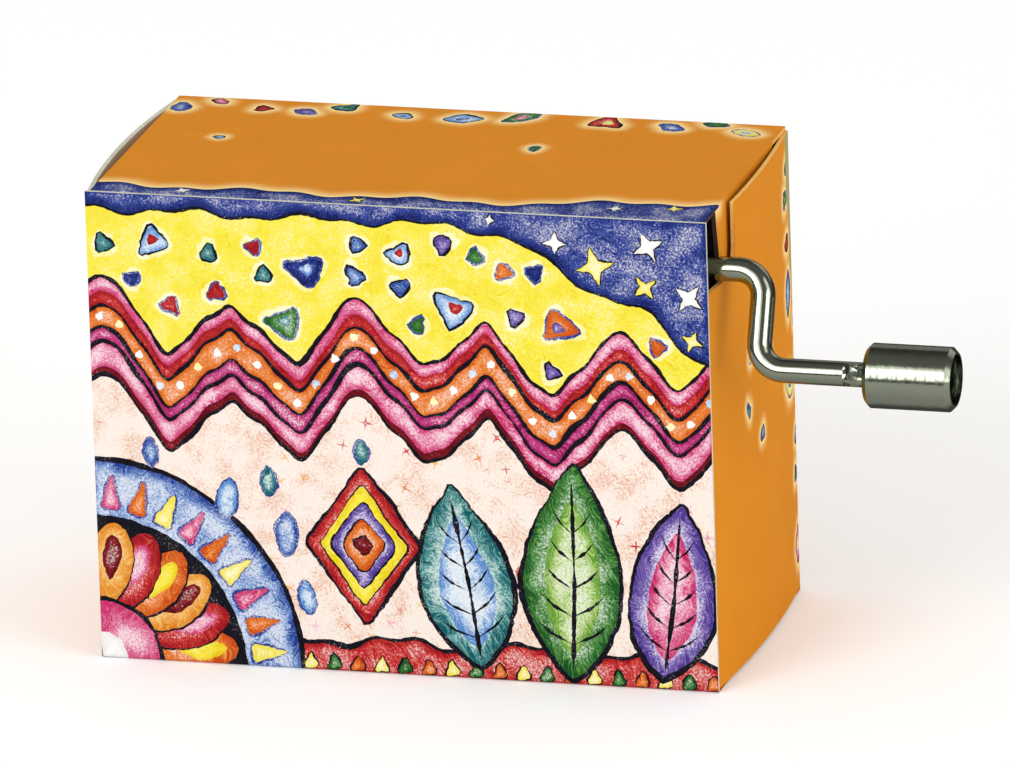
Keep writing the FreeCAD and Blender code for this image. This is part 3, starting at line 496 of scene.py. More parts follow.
def inside(places, line):
    """Whether each place is within a closed line, also one that crosses itself."""
    wound = np.zeros(len(places), int)
    for (x1, y1), (x2, y2) in zip(line, np.roll(line, -1, axis=0)):
        if y1 == y2:
            continue
        crosses = (places[:, 1] < y1) != (places[:, 1] < y2)
        at = x1 + (places[:, 1] - y1) * (x2 - x1) / (y2 - y1)
        wound[crosses & (places[:, 0] < at)] += 1 if y2 > y1 else -1
    return wound != 0


def owners(sheet, middles):
    """The last shape that covers each place, or -1 off the sheet."""
    found = np.full(len(middles), -1)
    found[inside(middles, sheet.outline)] = 0
    for index, (shape, _, _) in enumerate(sheet.shapes[1:], start=1):
        within = (middles > shape.min(0)) & (middles < shape.max(0))
        near = np.flatnonzero(within.all(1) & (found >= 0))
        if len(near):
            found[near[inside(middles[near], shape)]] = index
    return found


def drawn_lines(sheet):
    """All points and edges that the sheet's triangles keep: outlines, folds, and rings of points
    where a glow or a shade changes."""
    points, edges, extra = [], [], []
    for shape, _, _ in sheet.shapes:
        first, count = len(points), len(shape)
        edges.extend((first + k, first + (k + 1) % count) for k in range(count))
        points.extend(shape.tolist())
    low, high = sheet.outline.min(0), sheet.outline.max(0)
    for axis, station in sheet.stations:
        ends = np.array([low, high])
        ends[:, axis] = station
        edges.append((len(points), len(points) + 1))
        points.extend(ends.tolist())
        extra.extend(resample(ends, 1.2, closed=False).tolist())
    for line, reach in sheet.halos:
        for share in GLOW_RINGS:
            extra.extend(resample(grown(line, reach * share), 0.8).tolist())
    for shape, _, fade in sheet.shapes[1:]:
        for share in FADE_RINGS if fade > 0 else ():
            ring = resample(grown(shape, -fade * share), 0.6)
            good = inside(ring, shape) & (distance_to_line(ring, shape) > fade * share * 0.8)
            extra.extend(ring[good].tolist())
    return points + extra, edges


def glow_at(sheet, places):
    glow = np.zeros(len(places))
    for line, reach in sheet.halos:
        far = distance_to_line(places, line)
        far[inside(places, line)] = 0
        glow = np.maximum(glow, np.clip(1 - far / reach, 0, 1) ** 1.6)
    return glow


def shade_corners(sheet, places, shape_of):
    """The shade attribute: the glow on the ground, and the darker rim in a painted shape."""
    shade = np.zeros(len(places))
    for index, (shape, ink, fade) in enumerate(sheet.shapes):
        mine = shape_of == index
        if ink == "ground":
            shade[mine] = glow_at(sheet, places[mine])
        elif fade > 0 and mine.any():
            shade[mine] = np.clip(1 - distance_to_line(places[mine], shape) / fade, 0, 1)
    return shade


def lay(sheet, way, body):
    """Build the sheet's mesh. way turns flat places into points and outward normals, in millimetres."""
    points, edges = drawn_lines(sheet)
    result = delaunay_2d_cdt([Vector(p) for p in points], edges, [], 0, 1e-4)
    places = np.array([tuple(p) for p in result[0]])
    triangles = np.array(result[2])
    shape_of = owners(sheet, places[triangles].mean(axis=1))
    triangles, shape_of = triangles[shape_of >= 0], shape_of[shape_of >= 0]
    corners = places[triangles.ravel()]
    used, rows = np.unique(triangles.ravel(), return_inverse=True)
    spots, outward = way(places[used])
    points = (spots + outward * PAPER / 2) * MM
    mesh = new_mesh(sheet.name, points.tolist(), rows.reshape(-1, 3).tolist())
    inks = sorted({sheet.shapes[index][1] for index in set(shape_of)}, key=INK_NAMES.index)
    for ink in inks:
        mesh.materials.append(INKS[ink])
    mesh.polygons.foreach_set("material_index", [inks.index(sheet.shapes[index][1]) for index in shape_of])
    low, high = sheet.outline.min(0), sheet.outline.max(0)
    within_unit = (corners - low) / ((high - low).max() * 1.02) + 0.005
    for name, places in (("flat", corners), ("OFBake", within_unit)):
        layer = mesh.uv_layers.new(name=name)
        layer.data.foreach_set("uv", places.ravel().astype(np.float32))
    shades = mesh.attributes.new("shade", "FLOAT", "CORNER")
    values = shade_corners(sheet, corners, np.repeat(shape_of, 3))
    shades.data.foreach_set("value", values.astype(np.float32))
    mesh.update()
    piece = add_object(sheet.name, mesh)
    thick = piece.modifiers.new("paper", "SOLIDIFY")
    thick.thickness = PAPER * MM
    thick.offset = -1
    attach(piece, body)


# Ways along the folded board

def bowed(start, end, rise):
    """Points from start to end along a shallow arc that bulges to the right of the way."""
    start, end = np.array(start), np.array(end)
    run = end - start
    long = np.linalg.norm(run)
    radius = (long * long / 4 + rise * rise) / (2 * rise)
    side = np.array([run[1], -run[0]]) / long
    share = np.linspace(-0.5, 0.5, 25) * long
    lift = np.sqrt(radius * radius - share * share) - (radius - rise)
    return (start + end) / 2 + np.outer(share / long, run) + np.outer(lift, side)


def join_folds(runs, radius):
    """One line through all the runs, with a round fold where one meets the next."""
    line, *rest_of_runs = (np.array(run, float) for run in runs)
    for run in rest_of_runs:
        corner = line[-1]
        before, after = unit(np.array([corner - line[-2], run[1] - run[0]]))
        turn = acos(np.clip(before @ after, -1, 1))
        back = radius * tan(turn / 2)
        start, end = corner - before * back, corner + after * back
        side = 1 if before[0] * after[1] - before[1] * after[0] > 0 else -1
        centre = start + radius * side * np.array([-before[1], before[0]])
        first = degrees(atan2(*(start - centre)[::-1]))
        fold = arc(centre, radius, first, first + side * degrees(turn), 8)
        kept = [p for p in line[:-1] if (p - start) @ before < -0.05]
        rest = [p for p in run[1:] if (p - end) @ after > 0.05]
        line = np.array(kept + fold.tolist() + rest)
    return line


class Way:
    """A line across the board's outside, with its length and its outward normals."""

    def __init__(self, line):
        self.line = np.array(line, float)
        self.length = lengths_along(self.line)
        across = right_of(unit(np.diff(self.line, axis=0)))
        self.side = unit(np.vstack([across[:1], across[:-1] + across[1:], across[-1:]]))

    def at(self, along):
        return places_at(along, self.length, self.line), unit(places_at(along, self.length, self.side))

    def along_x(self, places):
        """Flat (across, along) where across is X and the way is in the YZ plane."""
        spot, side = self.at(places[:, 1])
        return np.c_[places[:, 0], spot], np.c_[np.zeros(len(places)), side]

    def round_walls(self, places):
        """Flat (along, up) where the way is in the XY plane."""
        spot, side = self.at(places[:, 0])
        return np.c_[spot, places[:, 1]], np.c_[side, np.zeros(len(places))]

    def stations(self, axis):
        return [(axis, station) for station in self.length[1:-1]]


def folded_sides(flat):
    """The same way, but what reaches past the lid's left or right edge is folded down there."""
    def turn(places):
        spots, outward = flat(places)
        for edge in (LID_LEFT, LID_RIGHT):
            sign = copysign(1.0, edge)
            start = abs(edge) - SIDE_FOLD
            over = np.clip(sign * places[:, 0] - start, 0, None)
            angle = np.clip(over / SIDE_FOLD, 0, pi / 2)
            down = SIDE_FOLD * (1 - np.cos(angle)) + over - angle * SIDE_FOLD
            past = over > 0
            spots[past] -= (outward * down[:, None])[past]
            spots[past, 0] = sign * (start + SIDE_FOLD * np.sin(angle[past]))
            outward[past] *= np.cos(angle[past])[:, None]
            outward[past, 0] = sign * np.sin(angle[past])
        return spots, outward
    return turn


def motif(sheet, points, fill, line, width, seed, fade, wobble, halo=0.0):
    """A painted shape with an outline of another ink. wobble is how far the hand strays, and halo how
    far a glow reaches round it."""
    shape = hand(points, wobble, seed)
    edge = grown(shape, width, seed + 7)
    if halo:
        sheet.glow(edge, halo)
    sheet.paint(edge, line)
    sheet.paint(shape, fill, fade)


# Small shapes

SHAPES = {
    "leaf": lambda size: leaf(size * 0.62, size * 1.3) - (0, size * 0.65),
    "drop": lambda size: drop(size * 0.85, size * 1.25) - (0, size * 0.6),
    "triangle": triangle,
    "diamond": lambda size: diamond(size * 1.1, size * 0.85),
}


def scattered(seed, across, up, tries, sizes, apart, clear=lambda x, y, size: True):
    """Chance places in a rectangle, clear of one another: (across, up, size, turn)."""
    rng = random.Random(seed)
    taken = []
    for _ in range(tries):
        x, y = rng.uniform(*across), rng.uniform(*up)
        size, turn = rng.uniform(*sizes), rng.uniform(0, 360)
        far = all(hypot(x - a, y - b) > (size + c) * 0.62 + apart for a, b, c, _ in taken)
        if far and clear(x, y, size):
            taken.append((x, y, size, turn))
    return taken


def strew(sheet, places, kinds, fills, seed, halo):
    """Small painted shapes, each with a second colour inside it if it is large enough."""
    for index, (x, y, size, turn) in enumerate(places):
        kind = SHAPES[kinds[index % len(kinds)]]
        fill = fills[index % len(fills)]
        shape = spun(kind(size), turn, (x, y))
        motif(sheet, shape, fill, ("ink", "navy")[index % 2], 0.2, seed + index, 0.7, 0.07, halo)
        if size > 2.3:
            second = fills[(index + 3) % len(fills)]
            sheet.paint(hand(spun(kind(size * 0.42), turn + 8, (x, y)), 0.06, seed + index), second, 0.4)


# What is painted on the front

LAYERS = (("maroon", 0.8), ("pink", 2.1), ("magenta", 1.5), ("orange", 2.5), ("red", 1.2), ("pink", 1.4))
MIDDLE_LAYER = 3


def zigzag(x):
    """Height of the lower edge of the zigzag band."""
    peak = asin(0.96 * cos(2 * pi * (x / 12.4 + 0.31))) / (pi / 2)
    return 23.4 + 3.6 * peak - 0.05 * x + waves(x, (0.3, 0.9, 0), (0.16, 2.3, 1), (0.9, 0.21, 2))


def layer_foot(index):
    """Height of the foot of one layer of the zigzag band, as a function of the place across."""
    widths = [wide for _, wide in LAYERS[:index]]

    def height(x):
        return zigzag(x) + sum(wide * (1 + waves(x, (0.2, 0.23, 1.9 * k))) for k, wide in enumerate(widths))
    return height


def night_edge(x):
    """Lower edge of the night sky: a thin strip along the top that drops in the right corner."""
    strip = 44.6 + waves(x, (0.35, 0.55, 0), (0.2, 1.3, 1))
    return strip - 6.5 / (1 + exp((15 - x) / 2.2)) - 6.0 / (1 + exp((26 - x) / 1.2))


def hem(x):
    """Top of the red hem along the bottom."""
    return 3.1 + waves(x, (0.5, 0.5, 2), (0.25, 1.4, 0))


def stroke_across(sheet, height, width, seed, start=-PAST_EDGE):
    line = [(x, height(x)) for x in np.arange(start, PAST_EDGE, 0.4)]
    sheet.paint(pen(line, width, seed, taper=False), "ink")


def paint_band(sheet):
    for index, (ink, _) in enumerate(LAYERS):
        sheet.paint(between(layer_foot(index), layer_foot(index + 1)), ink, 0.6)
    for index in (0, 2, MIDDLE_LAYER, MIDDLE_LAYER + 1, len(LAYERS)):
        stroke_across(sheet, layer_foot(index), 0.36, 60 + index)
    low, high = layer_foot(MIDDLE_LAYER), layer_foot(MIDDLE_LAYER + 1)
    for step, x in enumerate(np.arange(-29, 30, 1.9)):
        bead = diamond(1.0, 1.25) + (x, (low(x) + high(x)) / 2)
        sheet.paint(hand(bead, 0.08, step), ("chalk", "lemon", "chalk", "sky")[step % 4])


def paint_fan(sheet, centre):
    """Rings and rays about a corner."""
    def ring(radius, ink, seed, fade=0.0):
        sheet.paint(hand(sector(0.1, radius, -3, 93, centre), 0.06, seed), ink, fade)
    ring(20.0, "ink", 5)
    ring(19.5, "blue", 6, 1.3)
    rays = 9
    for index in range(rays):
        start = 90 / rays * index
        tips = ((14.9, start + 1.3), (18.7, start + 5.0), (14.9, start + 8.7))
        corners = [polar(centre, *tip) for tip in tips]
        ray = polygon(corners, 0.3, 1)
        motif(sheet, ray, ("lemon", "orange", "pink")[index % 3], "navy", 0.2, index, 0.6, 0.05)
    ring(14.2, "ink", 8)
    petals = 6
    for index in range(petals):
        angle = 90 / petals * (index + 0.5)
        petal = spun(drop(4.9, 8.6), angle + 90, polar(centre, 13.6, angle))
        motif(sheet, petal, ("orange", "red", "amber")[index % 3], "ink", 0.2, 20 + index, 1.3, 0.07)
        heart = spun(drop(2.1, 4.6), angle + 90, polar(centre, 12.4, angle))
        sheet.paint(hand(heart, 0.06, 30 + index), ("yellow", "pink", "maroon")[index % 3], 0.5)
    ring(6.1, "ink", 9)
    ring(5.7, "pink", 10, 1.8)
    ring(2.6, "chalk", 11, 0.9)


def paint_leaf(sheet, foot, lean, wide, tall, inks, seed):
    def at(points):
        return spun(points, lean, foot)
    heart = leaf(wide * 0.6, tall * 0.74) + (0, tall * 0.1)
    motif(sheet, at(leaf(wide, tall)), inks[0], "ink", 0.42, seed, 1.6, 0.14)
    motif(sheet, at(heart), inks[1], inks[0], 0.2, seed + 1, 1.3, 0.1)
    sheet.paint(pen(at([(0, tall * 0.04), (0.2, tall * 0.45), (0, tall * 0.92)]), 0.36, seed), "ink")
    for step in range(5):
        height = tall * (0.16 + 0.13 * step)
        reach = wide * 0.38 * (1 - 0.12 * step)
        for side in (-1, 1):
            vein = at([(0, height), (side * reach * 0.6, height + 1.0), (side * reach, height + 2.2)])
            sheet.paint(pen(vein, 0.24, seed + step), "ink")


def paint_kite(sheet, centre, wide, tall, seed):
    layers = (("red", 1.0), ("yellow", 0.78), ("violet", 0.58), ("orange", 0.38), ("maroon", 0.17))
    for index, (ink, share) in enumerate(layers):
        shape = diamond(wide * share, tall * share) + centre
        motif(sheet, shape, ink, "ink", 0.34 if index == 0 else 0.16, seed + index, 0.7, 0.08)


def paint_star(sheet, centre, size, seed):
    turns = np.arange(8) / 8 * 360 + seed * 13
    radii = np.where(np.arange(8) % 2 == 0, size, size * 0.36)
    corners = [polar(centre, *tip) for tip in zip(radii, turns)]
    motif(sheet, resample(corners, 0.25), "lemon" if seed % 2 else "chalk", "ink", 0.12, seed, 0.3, 0.04)


def paint_front(sheet):
    """From the ground upwards: peach with crosses, yellow with triangles, the band, the night sky with
    stars, the hem with teeth, the kite, the leaves, the fan and the drops."""
    band_top = layer_foot(len(LAYERS))

    def foot(x):
        return -0.45

    def past_top(x):
        return HIGH + 1
    sheet.paint(between(foot, past_top), "peach")
    crosses = scattered(5, (-12, 30), (3, 26), 160, (0.9, 1.5), 0.9)
    for index, (x, y, size, turn) in enumerate(crosses):
        ink = ("amber", "red", "pink", "orange")[index % 4]
        for quarter in (0, 90):
            stroke = spun([(-size / 2, 0), (size / 2, 0.1)], turn + quarter, (x, y))
            sheet.paint(pen(stroke, 0.3, index), ink)
    sheet.paint(between(lambda x: band_top(x) - 0.5, past_top), "yellow")
    paint_band(sheet)

    def over_band(x, y, size):
        return y - band_top(x) > size * 0.8 + 0.4 and night_edge(x) - y > size * 0.75 + 0.3
    field = scattered(11, (-29, 29), (28, 45), 1500, (1.6, 4.0), 0.55, over_band)
    for index, (x, y, size, turn) in enumerate(field):
        rim = grown(spun(triangle(size), turn, (x, y)), 0.5, index)
        sheet.paint(hand(rim, 0.12, index), "lemon")
    fills = ("blue", "green", "sky", "orange", "teal", "red", "violet", "navy")
    strew(sheet, field, ("triangle",), fills, 200, 0)
    stars = ((15.4, 43.3, 1.2), (19.2, 41.2, 1.9), (24.4, 43.4, 1.6), (24.0, 39.4, 1.3), (28.2, 38.6, 1.6),
             (28.4, 34.4, 1.1), (9.2, 45.3, 0.6))
    stroke_across(sheet, night_edge, 0.5, 3)
    sheet.paint(between(night_edge, past_top), "navy", 0.9)
    for index, (x, y, size) in enumerate(stars):
        paint_star(sheet, (x, y), size, index)

    sheet.paint(between(foot, hem, -12), "red", 0.8)
    stroke_across(sheet, hem, 0.4, 4, start=-12)
    for step, x in enumerate(np.arange(-9.5, 30, 2.3)):
        tooth = polygon([(x - 0.8, 0.1), (x + 0.8, 0.2), (x, 1.9)], 0.3, 1)
        motif(sheet, tooth, ("lemon", "green", "orange")[step % 3], "ink", 0.16, 150 + step, 0.3, 0.05)
    paint_kite(sheet, (-4.0, 12.6), 11.0, 15.5, 70)
    paint_leaf(sheet, (7.2, 1.2), 9, 8.6, 18.0, ("teal", "sky"), 90)
    paint_leaf(sheet, (24.8, 1.0), -7, 8.0, 17.5, ("violet", "pink"), 110)
    paint_leaf(sheet, (16.0, 0.6), -1, 9.2, 21.0, ("green", "lime"), 100)
    paint_fan(sheet, (-HALF_WIDE, 0.0))
    tears = ((-24.4, 20.9, 1.5, 6), (-17.4, 16.9, 2.2, -8), (-13.0, 18.6, 1.6, 4),
             (-11.6, 13.6, 2.4, -3), (-9.4, 7.4, 1.8, 9), (-3.9, 22.0, 1.4, 2))
    for index, (x, y, size, lean) in enumerate(tears):
        tear = spun(drop(size, size * 1.75), lean, (x, y - size))
        motif(sheet, tear, ("blue", "sky", "teal")[index % 3], "navy", 0.22, 130 + index, 0.5, 0.05)


# Front and bottom: the way runs from the back of the bottom, forwards and up the front.

def front_way():
    line = join_folds([
        [(BACK, FOLD + 0.45), (BACK, 0.0)],
        [(BACK, 0.0), (FRONT, 0.0)],
        [(FRONT, 0.0), (FRONT, HIGH)],
    ], FOLD)
    line[0] = (BACK, FOLD)
    way = Way(line)
    way.length -= way.length[-1] - HIGH
    way.side *= -1
    return way


def draw_front():
    way = front_way()
    low = way.length[0]
    outline = np.array([(-HALF_WIDE, low), (HALF_WIDE, low), (HALF_WIDE, HIGH), (-HALF_WIDE, HIGH)])
    sheet = Sheet("front_print", outline, way.stations(1))
    paint_front(sheet)
    lay(sheet, way.along_x, "carton")


def wall_way():
    right = bowed((HALF_WIDE, FRONT + BOARD), (HALF_WIDE, BACK), BOW_RIGHT)
    back = [(HALF_WIDE, BACK), (-HALF_WIDE, BACK)]
    left = bowed((-HALF_WIDE, BACK), (-HALF_WIDE, FRONT + BOARD), BOW_LEFT)
    return Way(join_folds([right, back, left], FOLD))


def draw_walls():
    way = wall_way()
    end = way.length[-1]
    notch = NOTCH_IN - BOARD
    low = HIGH - NOTCH_DROP
    curve = arc((notch - NOTCH_ROUND, low + NOTCH_ROUND), NOTCH_ROUND, -90, 0, 8)
    outline = np.vstack([[(0, FOLD), (end, FOLD), (end, RIM), (notch, RIM)], curve[::-1], [(0, low)]])
    sheet = Sheet("wall_print", outline, way.stations(0))
    side, back = BACK - FRONT - BOARD, 2 * HALF_WIDE
    kinds = ("leaf", "triangle", "diamond", "drop", "triangle")
    fills = ("blue", "green", "pink", "sky", "red", "lemon", "violet", "teal")
    for index, corner in enumerate((side, side + back)):
        places = scattered(21 + index, (corner - 3.4, corner + 1.2), (2, 43), 500, (1.8, 4.2), 0.9)
        strew(sheet, places, kinds, fills, 300, 1.5)
    loose = scattered(31, (side + 5, side + back - 5), (3, 43), 22, (1.4, 3.2), 5.0)
    loose += scattered(36, (7, side - 8), (8, 30), 5, (1.0, 1.8), 3.5)
    loose += scattered(33, (side + back + 6, end - 5), (8, 42), 6, (1.2, 2.4), 4.0)
    strew(sheet, loose, kinds, fills, 400, 1.2)
    # Bare strips along the back folds, in a khaki that is partly bare board and partly painted shade
    for corner, sign in ((side, 1), (side + back, -1)):
        darker_patch = [(-2.2, 1), (-2.1, -6.5), (-1.3, -8), (-1.1, -13), (-0.4, -17), (0.3, -18), (0.4, 1)]
        darker_patch = [(corner + sign * along, RIM + up) for along, up in darker_patch]
        sheet.paint(hand(resample(darker_patch, 0.4), 0.05, 440), "bare")
    lay(sheet, way.round_walls, "carton")


# Lid: the way runs up the flap, over the fold, along the top and down the crease.

FLAP_STEPS = 8
FOLD_STEPS = 8


def lid_way():
    reach = HINGE[0] - (FRONT + BOARD) - LID_GAP
    lowest = degrees(asin((HINGE[1] - FLAP_LOW) / reach))
    top_turn = degrees(asin((HINGE[1] - (HIGH - FOLD)) / reach))
    flap = arc(HINGE, reach, 180 + lowest, 180 + top_turn, FLAP_STEPS)
    fold = arc((flap[-1][0] + FOLD, HIGH - FOLD), FOLD, 180, 90, FOLD_STEPS)
    hinge = arc(HINGE, BOARD / 2, 90, 0, 6)
    line = np.vstack([flap, fold[1:], hinge])
    way = Way(line)
    way.length -= way.length[FLAP_STEPS + FOLD_STEPS]
    way.side *= -1
    return way


def draw_lid():
    way = lid_way()
    low, end = way.length[0], way.length[-1]
    flap = slice(FLAP_STEPS + 1)
    under, relief = np.interp((HIGH - BOARD, RELIEF_HIGH), way.line[flap, 1], way.length[flap])
    start = way.line[FLAP_STEPS + FOLD_STEPS][0]
    bend = SIDE_FOLD * pi / 2
    left, right = LID_LEFT + SIDE_FOLD - bend, LID_RIGHT - SIDE_FOLD + bend
    reach = EAR_DROP - SIDE_FOLD
    near, far = EAR_FRONT - start, EAR_BACK - start
    outline = np.array([
        (left, under), (-FLAP_HALF, under), (-FLAP_HALF, low), (RELIEF[0], low), (RELIEF[0], relief),
        (RELIEF[1], relief), (RELIEF[1], low), (FLAP_HALF, low), (FLAP_HALF, under), (right, under),
        (right, near), (right + reach, near + EAR_SLANT), (right + reach, far - EAR_SLANT), (right, far),
        (right, end), (left, end),
        (left, far), (left - reach, far - EAR_SLANT), (left - reach, near + EAR_SLANT), (left, near),
    ])
    folds = [(0, sign * (abs(edge) - SIDE_FOLD + bend * share))
             for sign, edge in ((1, LID_RIGHT), (-1, LID_LEFT)) for share in (0, 0.25, 0.5, 0.75, 1)]
    sheet = Sheet("lid_print", outline, way.stations(1) + folds)
    kinds = ("diamond", "leaf", "triangle", "drop")
    fills = ("sky", "green", "red", "blue", "pink", "lemon", "teal", "violet")
    row = scattered(41, (-28.5, 28.5), (26.4, 29.4), 600, (1.9, 4.4), 1.2)
    strew(sheet, row, kinds, fills, 500, 1.4)
    loose = scattered(43, (-24, 24), (8, 22), 7, (1.0, 2.0), 7.0)
    strew(sheet, loose, kinds, fills, 600, 1.1)

    def shore(x):
        """Far edge of the night sky, which reaches over the fold."""
        return 2.0 + waves(x, (0.5, 0.4, 1), (0.3, 1.1, 0)) + 2.6 / (1 + exp((17 - x) / 2))
    sky = between(lambda x: low - 1, shore, left - 0.02, right + 0.02)
    sheet.glow(sky, 2.0)
    sheet.paint(sky, "navy", 1.2)
    for index, (x, y) in enumerate(((20.5, 2.2), (26.0, 3.0), (-21.0, 0.9), (-4.0, 0.8))):
        paint_star(sheet, (x, y), 0.9, index)
    lay(sheet, folded_sides(way.along_x), "lid")


# Screws and washers

def grid(rows, closed):
    """Points and quads between neighbouring rows of points."""
    wide = len(rows[0])
    faces = []
    for low in range(0, wide * (len(rows) - 1), wide):
        for k in range(wide if closed else wide - 1):
            after = (k + 1) % wide
            faces.append((low + k, low + after, low + wide + after, low + wide + k))
    return [point for row in rows for point in row], faces


def welded(points, faces):
    """The same faces with each point once, and without the faces that have shrunk to a line."""
    spots = {}
    spot_of = [spots.setdefault(tuple(round(value, 5) for value in point), len(spots)) for point in points]
    merged = [tuple(dict.fromkeys(spot_of[k] for k in face)) for face in faces]
    return list(spots), [face for face in merged if len(face) > 2]


def turned_ring(profile):
    """Points and quads of a closed profile of (radius, height) turned about Z."""
    turns = [2 * pi * k / 40 for k in range(40)]
    return grid([[(radius * cos(turn), radius * sin(turn), height) for turn in turns]
                 for radius, height in (*profile, profile[0])], closed=True)


def slotted_half(radius, high, slot, sign):
    """One half of a domed screw head, on its side of the slot, from just below the slot's floor."""
    across, out = 14, 5
    floor = high * (SLOT_FLOOR - 0.02)
    reach = sqrt(radius * radius - slot * slot)
    rows = []
    for step in range(-1, out + 2):
        share = min(max(step, 0), out) / out
        row = []
        for k in range(across + 1):
            x = -reach * cos(pi * k / across)
            y = slot + share * (sqrt(max(radius * radius - x * x, slot * slot)) - slot)
            dome = high * (1 - 0.42 * (x * x + y * y) / (radius * radius))
            row.append((x, sign * y, floor if step in (-1, out + 1) else dome))
        rows.append(row if sign < 0 else row[::-1])
    return welded(*grid(rows + rows[:1], closed=False))


def screw_head(radius, high, slot):
    floor = high * SLOT_FLOOR
    base = turned_ring([(0.01, 0.0), (radius, 0.0), (radius, floor), (0.01, floor)])
    return [base, slotted_half(radius, high, slot, 1), slotted_half(radius, high, slot, -1)]


def fasten(name, parts, places, sign, lean=0.0):
    """Copies of the parts at places in millimetres, their axis along sign * Y, each turned further."""
    points, faces = [], []
    stand = Matrix.Rotation(radians(-90 * sign), 3, "X")
    for index, place in enumerate(places):
        turn = stand @ Matrix.Rotation(radians(lean + 53 * index), 3, "Z")
        for part_points, part_faces in parts:
            first = len(points)
            points += [tuple((turn @ Vector(point) + Vector(place)) * MM) for point in part_points]
            faces += [tuple(first + k for k in face) for face in part_faces]
    mesh = new_mesh(name, points, faces)
    mesh.materials.append(bpy.data.materials["screw_steel"])
    piece = add_object(name, mesh)
    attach(piece, "carton")


POST_PLACES = [(x, BACK, z) for x in (-21.0, 22.5) for z in (7.5, 39.5)]
CASE_WASHER = ((1.3, 0.0), (2.95, 0.0), (3.05, 0.08), (2.95, 0.25), (1.3, 0.25))


def case_screws():
    fasten("case_washers", [turned_ring(CASE_WASHER)], POST_PLACES, 1)
    heads = [(x, y + 0.25, z) for x, y, z in POST_PLACES]
    fasten("case_screws", screw_head(2.1, 0.6, 0.3), heads, 1, 20)


def comb_screws():
    """Two in the comb's heel, half of its width behind the roots of the teeth."""
    low, high = (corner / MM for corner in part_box("comb"))
    bass, treble = high.x - BASS_LONG, high.x - TREBLE_LONG
    places = []
    for share in (0.22, 0.78):
        root = bass + (treble - bass) * share
        places.append((root - (bass - low.x) / 2, low.y, low.z + (high.z - low.z) * share))
    fasten("comb_screws", screw_head(2.1, 1.2, 0.3), places, -1, 65)


def bracket_screws():
    """In the middle of each foot: two in a foot that lies across, one in a foot that stands."""
    places = []
    feet = (("drum_bracket_lower", 2, -1), ("drum_bracket_upper", 2, 1),
            ("crank_bracket_inner", 0, -1), ("crank_bracket_outer", 0, 1))
    for name, way, side in feet:
        low, high = (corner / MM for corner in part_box(name))
        middle = (low + high) / 2
        middle[way] = (high if side > 0 else low)[way] - side * FOOT_LONG / 2
        for shift in (-5.2, 5.2) if way == 2 else (0.0,):
            places.append((middle.x + shift, high.y - METAL, middle.z))
    fasten("bracket_screws", screw_head(1.5, 0.9, 0.22), places, -1, 10)


# Metals and board

def make_board():
    """Pale grey board. The cut edges on the crank's side are stained by the print, and the edges of the
    lid's ear in the notch are painted dark brown as painted shade, for the dark inside of the box."""
    surface = Surface("board", Roughness=0.85)
    place = surface.coordinate("Object")
    fibre = noise(place, 2600, 4, 0.7)
    cloud = ramp(noise(place, 180, 3, 0.6), 0.3, 0.7)
    pale = mixed(cloud, srgb(200, 200, 180), srgb(218, 217, 202))
    grey = mixed(cloud, srgb(198, 196, 176), srgb(214, 212, 194))
    middle = (0, 0, HIGH / 2 * MM)
    to_middle = node(place.tree, "ShaderNodeVectorMath", {"operation": "SUBTRACT"}, i0=middle, i1=place)
    inwards = dot(surface.coordinate("Normal"), to_middle)
    across, along, up = (axis(place, index) for index in range(3))
    stained = across.above((HALF_WIDE - 0.9) * MM) * along.above((FRONT + BOARD + 0.05) * MM)
    # The lid's ear edges in the notch, which get painted shade
    ear_painted_shade = along.below((EAR_FRONT + EAR_SLANT + 0.2) * MM) * up.above((HIGH - NOTCH_DROP + 0.1) * MM)

    def by_edge(plain, at_stain, at_painted_shade):
        return mixed(stained, plain, mixed(ear_painted_shade, at_stain, at_painted_shade))
    # The last colour of each is painted shade, dark brown, on the ear's edges in the notch
    edge = by_edge(pale, srgb(236, 184, 92), srgb(70, 42, 24))
    tone = mixed(ramp(inwards, 0, MM), edge, grey)
    darker = by_edge(srgb(150, 148, 130), srgb(206, 146, 60), srgb(40, 24, 14))
    return surface.finish(mixed(ramp(fibre, 0.35, 0.7, 0, 0.45), tone, darker), fibre, 3e-5, 0.6)


def make_metal(name, colour, darker, roughness, metallic, grain=(1, 1, 1)):
    """Dull or ground metal. The grain runs long on the axes where its factor is small."""
    surface = Surface(name, Metallic=metallic)
    place = surface.coordinate("Object")
    fine = noise(stretched(place, grain), 2700, 3, 0.6)
    surface.set(Roughness=ramp(fine, 0.3, 0.8, roughness * 0.8, roughness * 1.35))
    darker_patch = ramp(noise(place, 160, 4, 0.6), 0.35, 0.75, 0, 0.25)
    return surface.finish(mixed(darker_patch, srgb(*colour), srgb(*darker)), fine, 1.8e-6, 0.35)


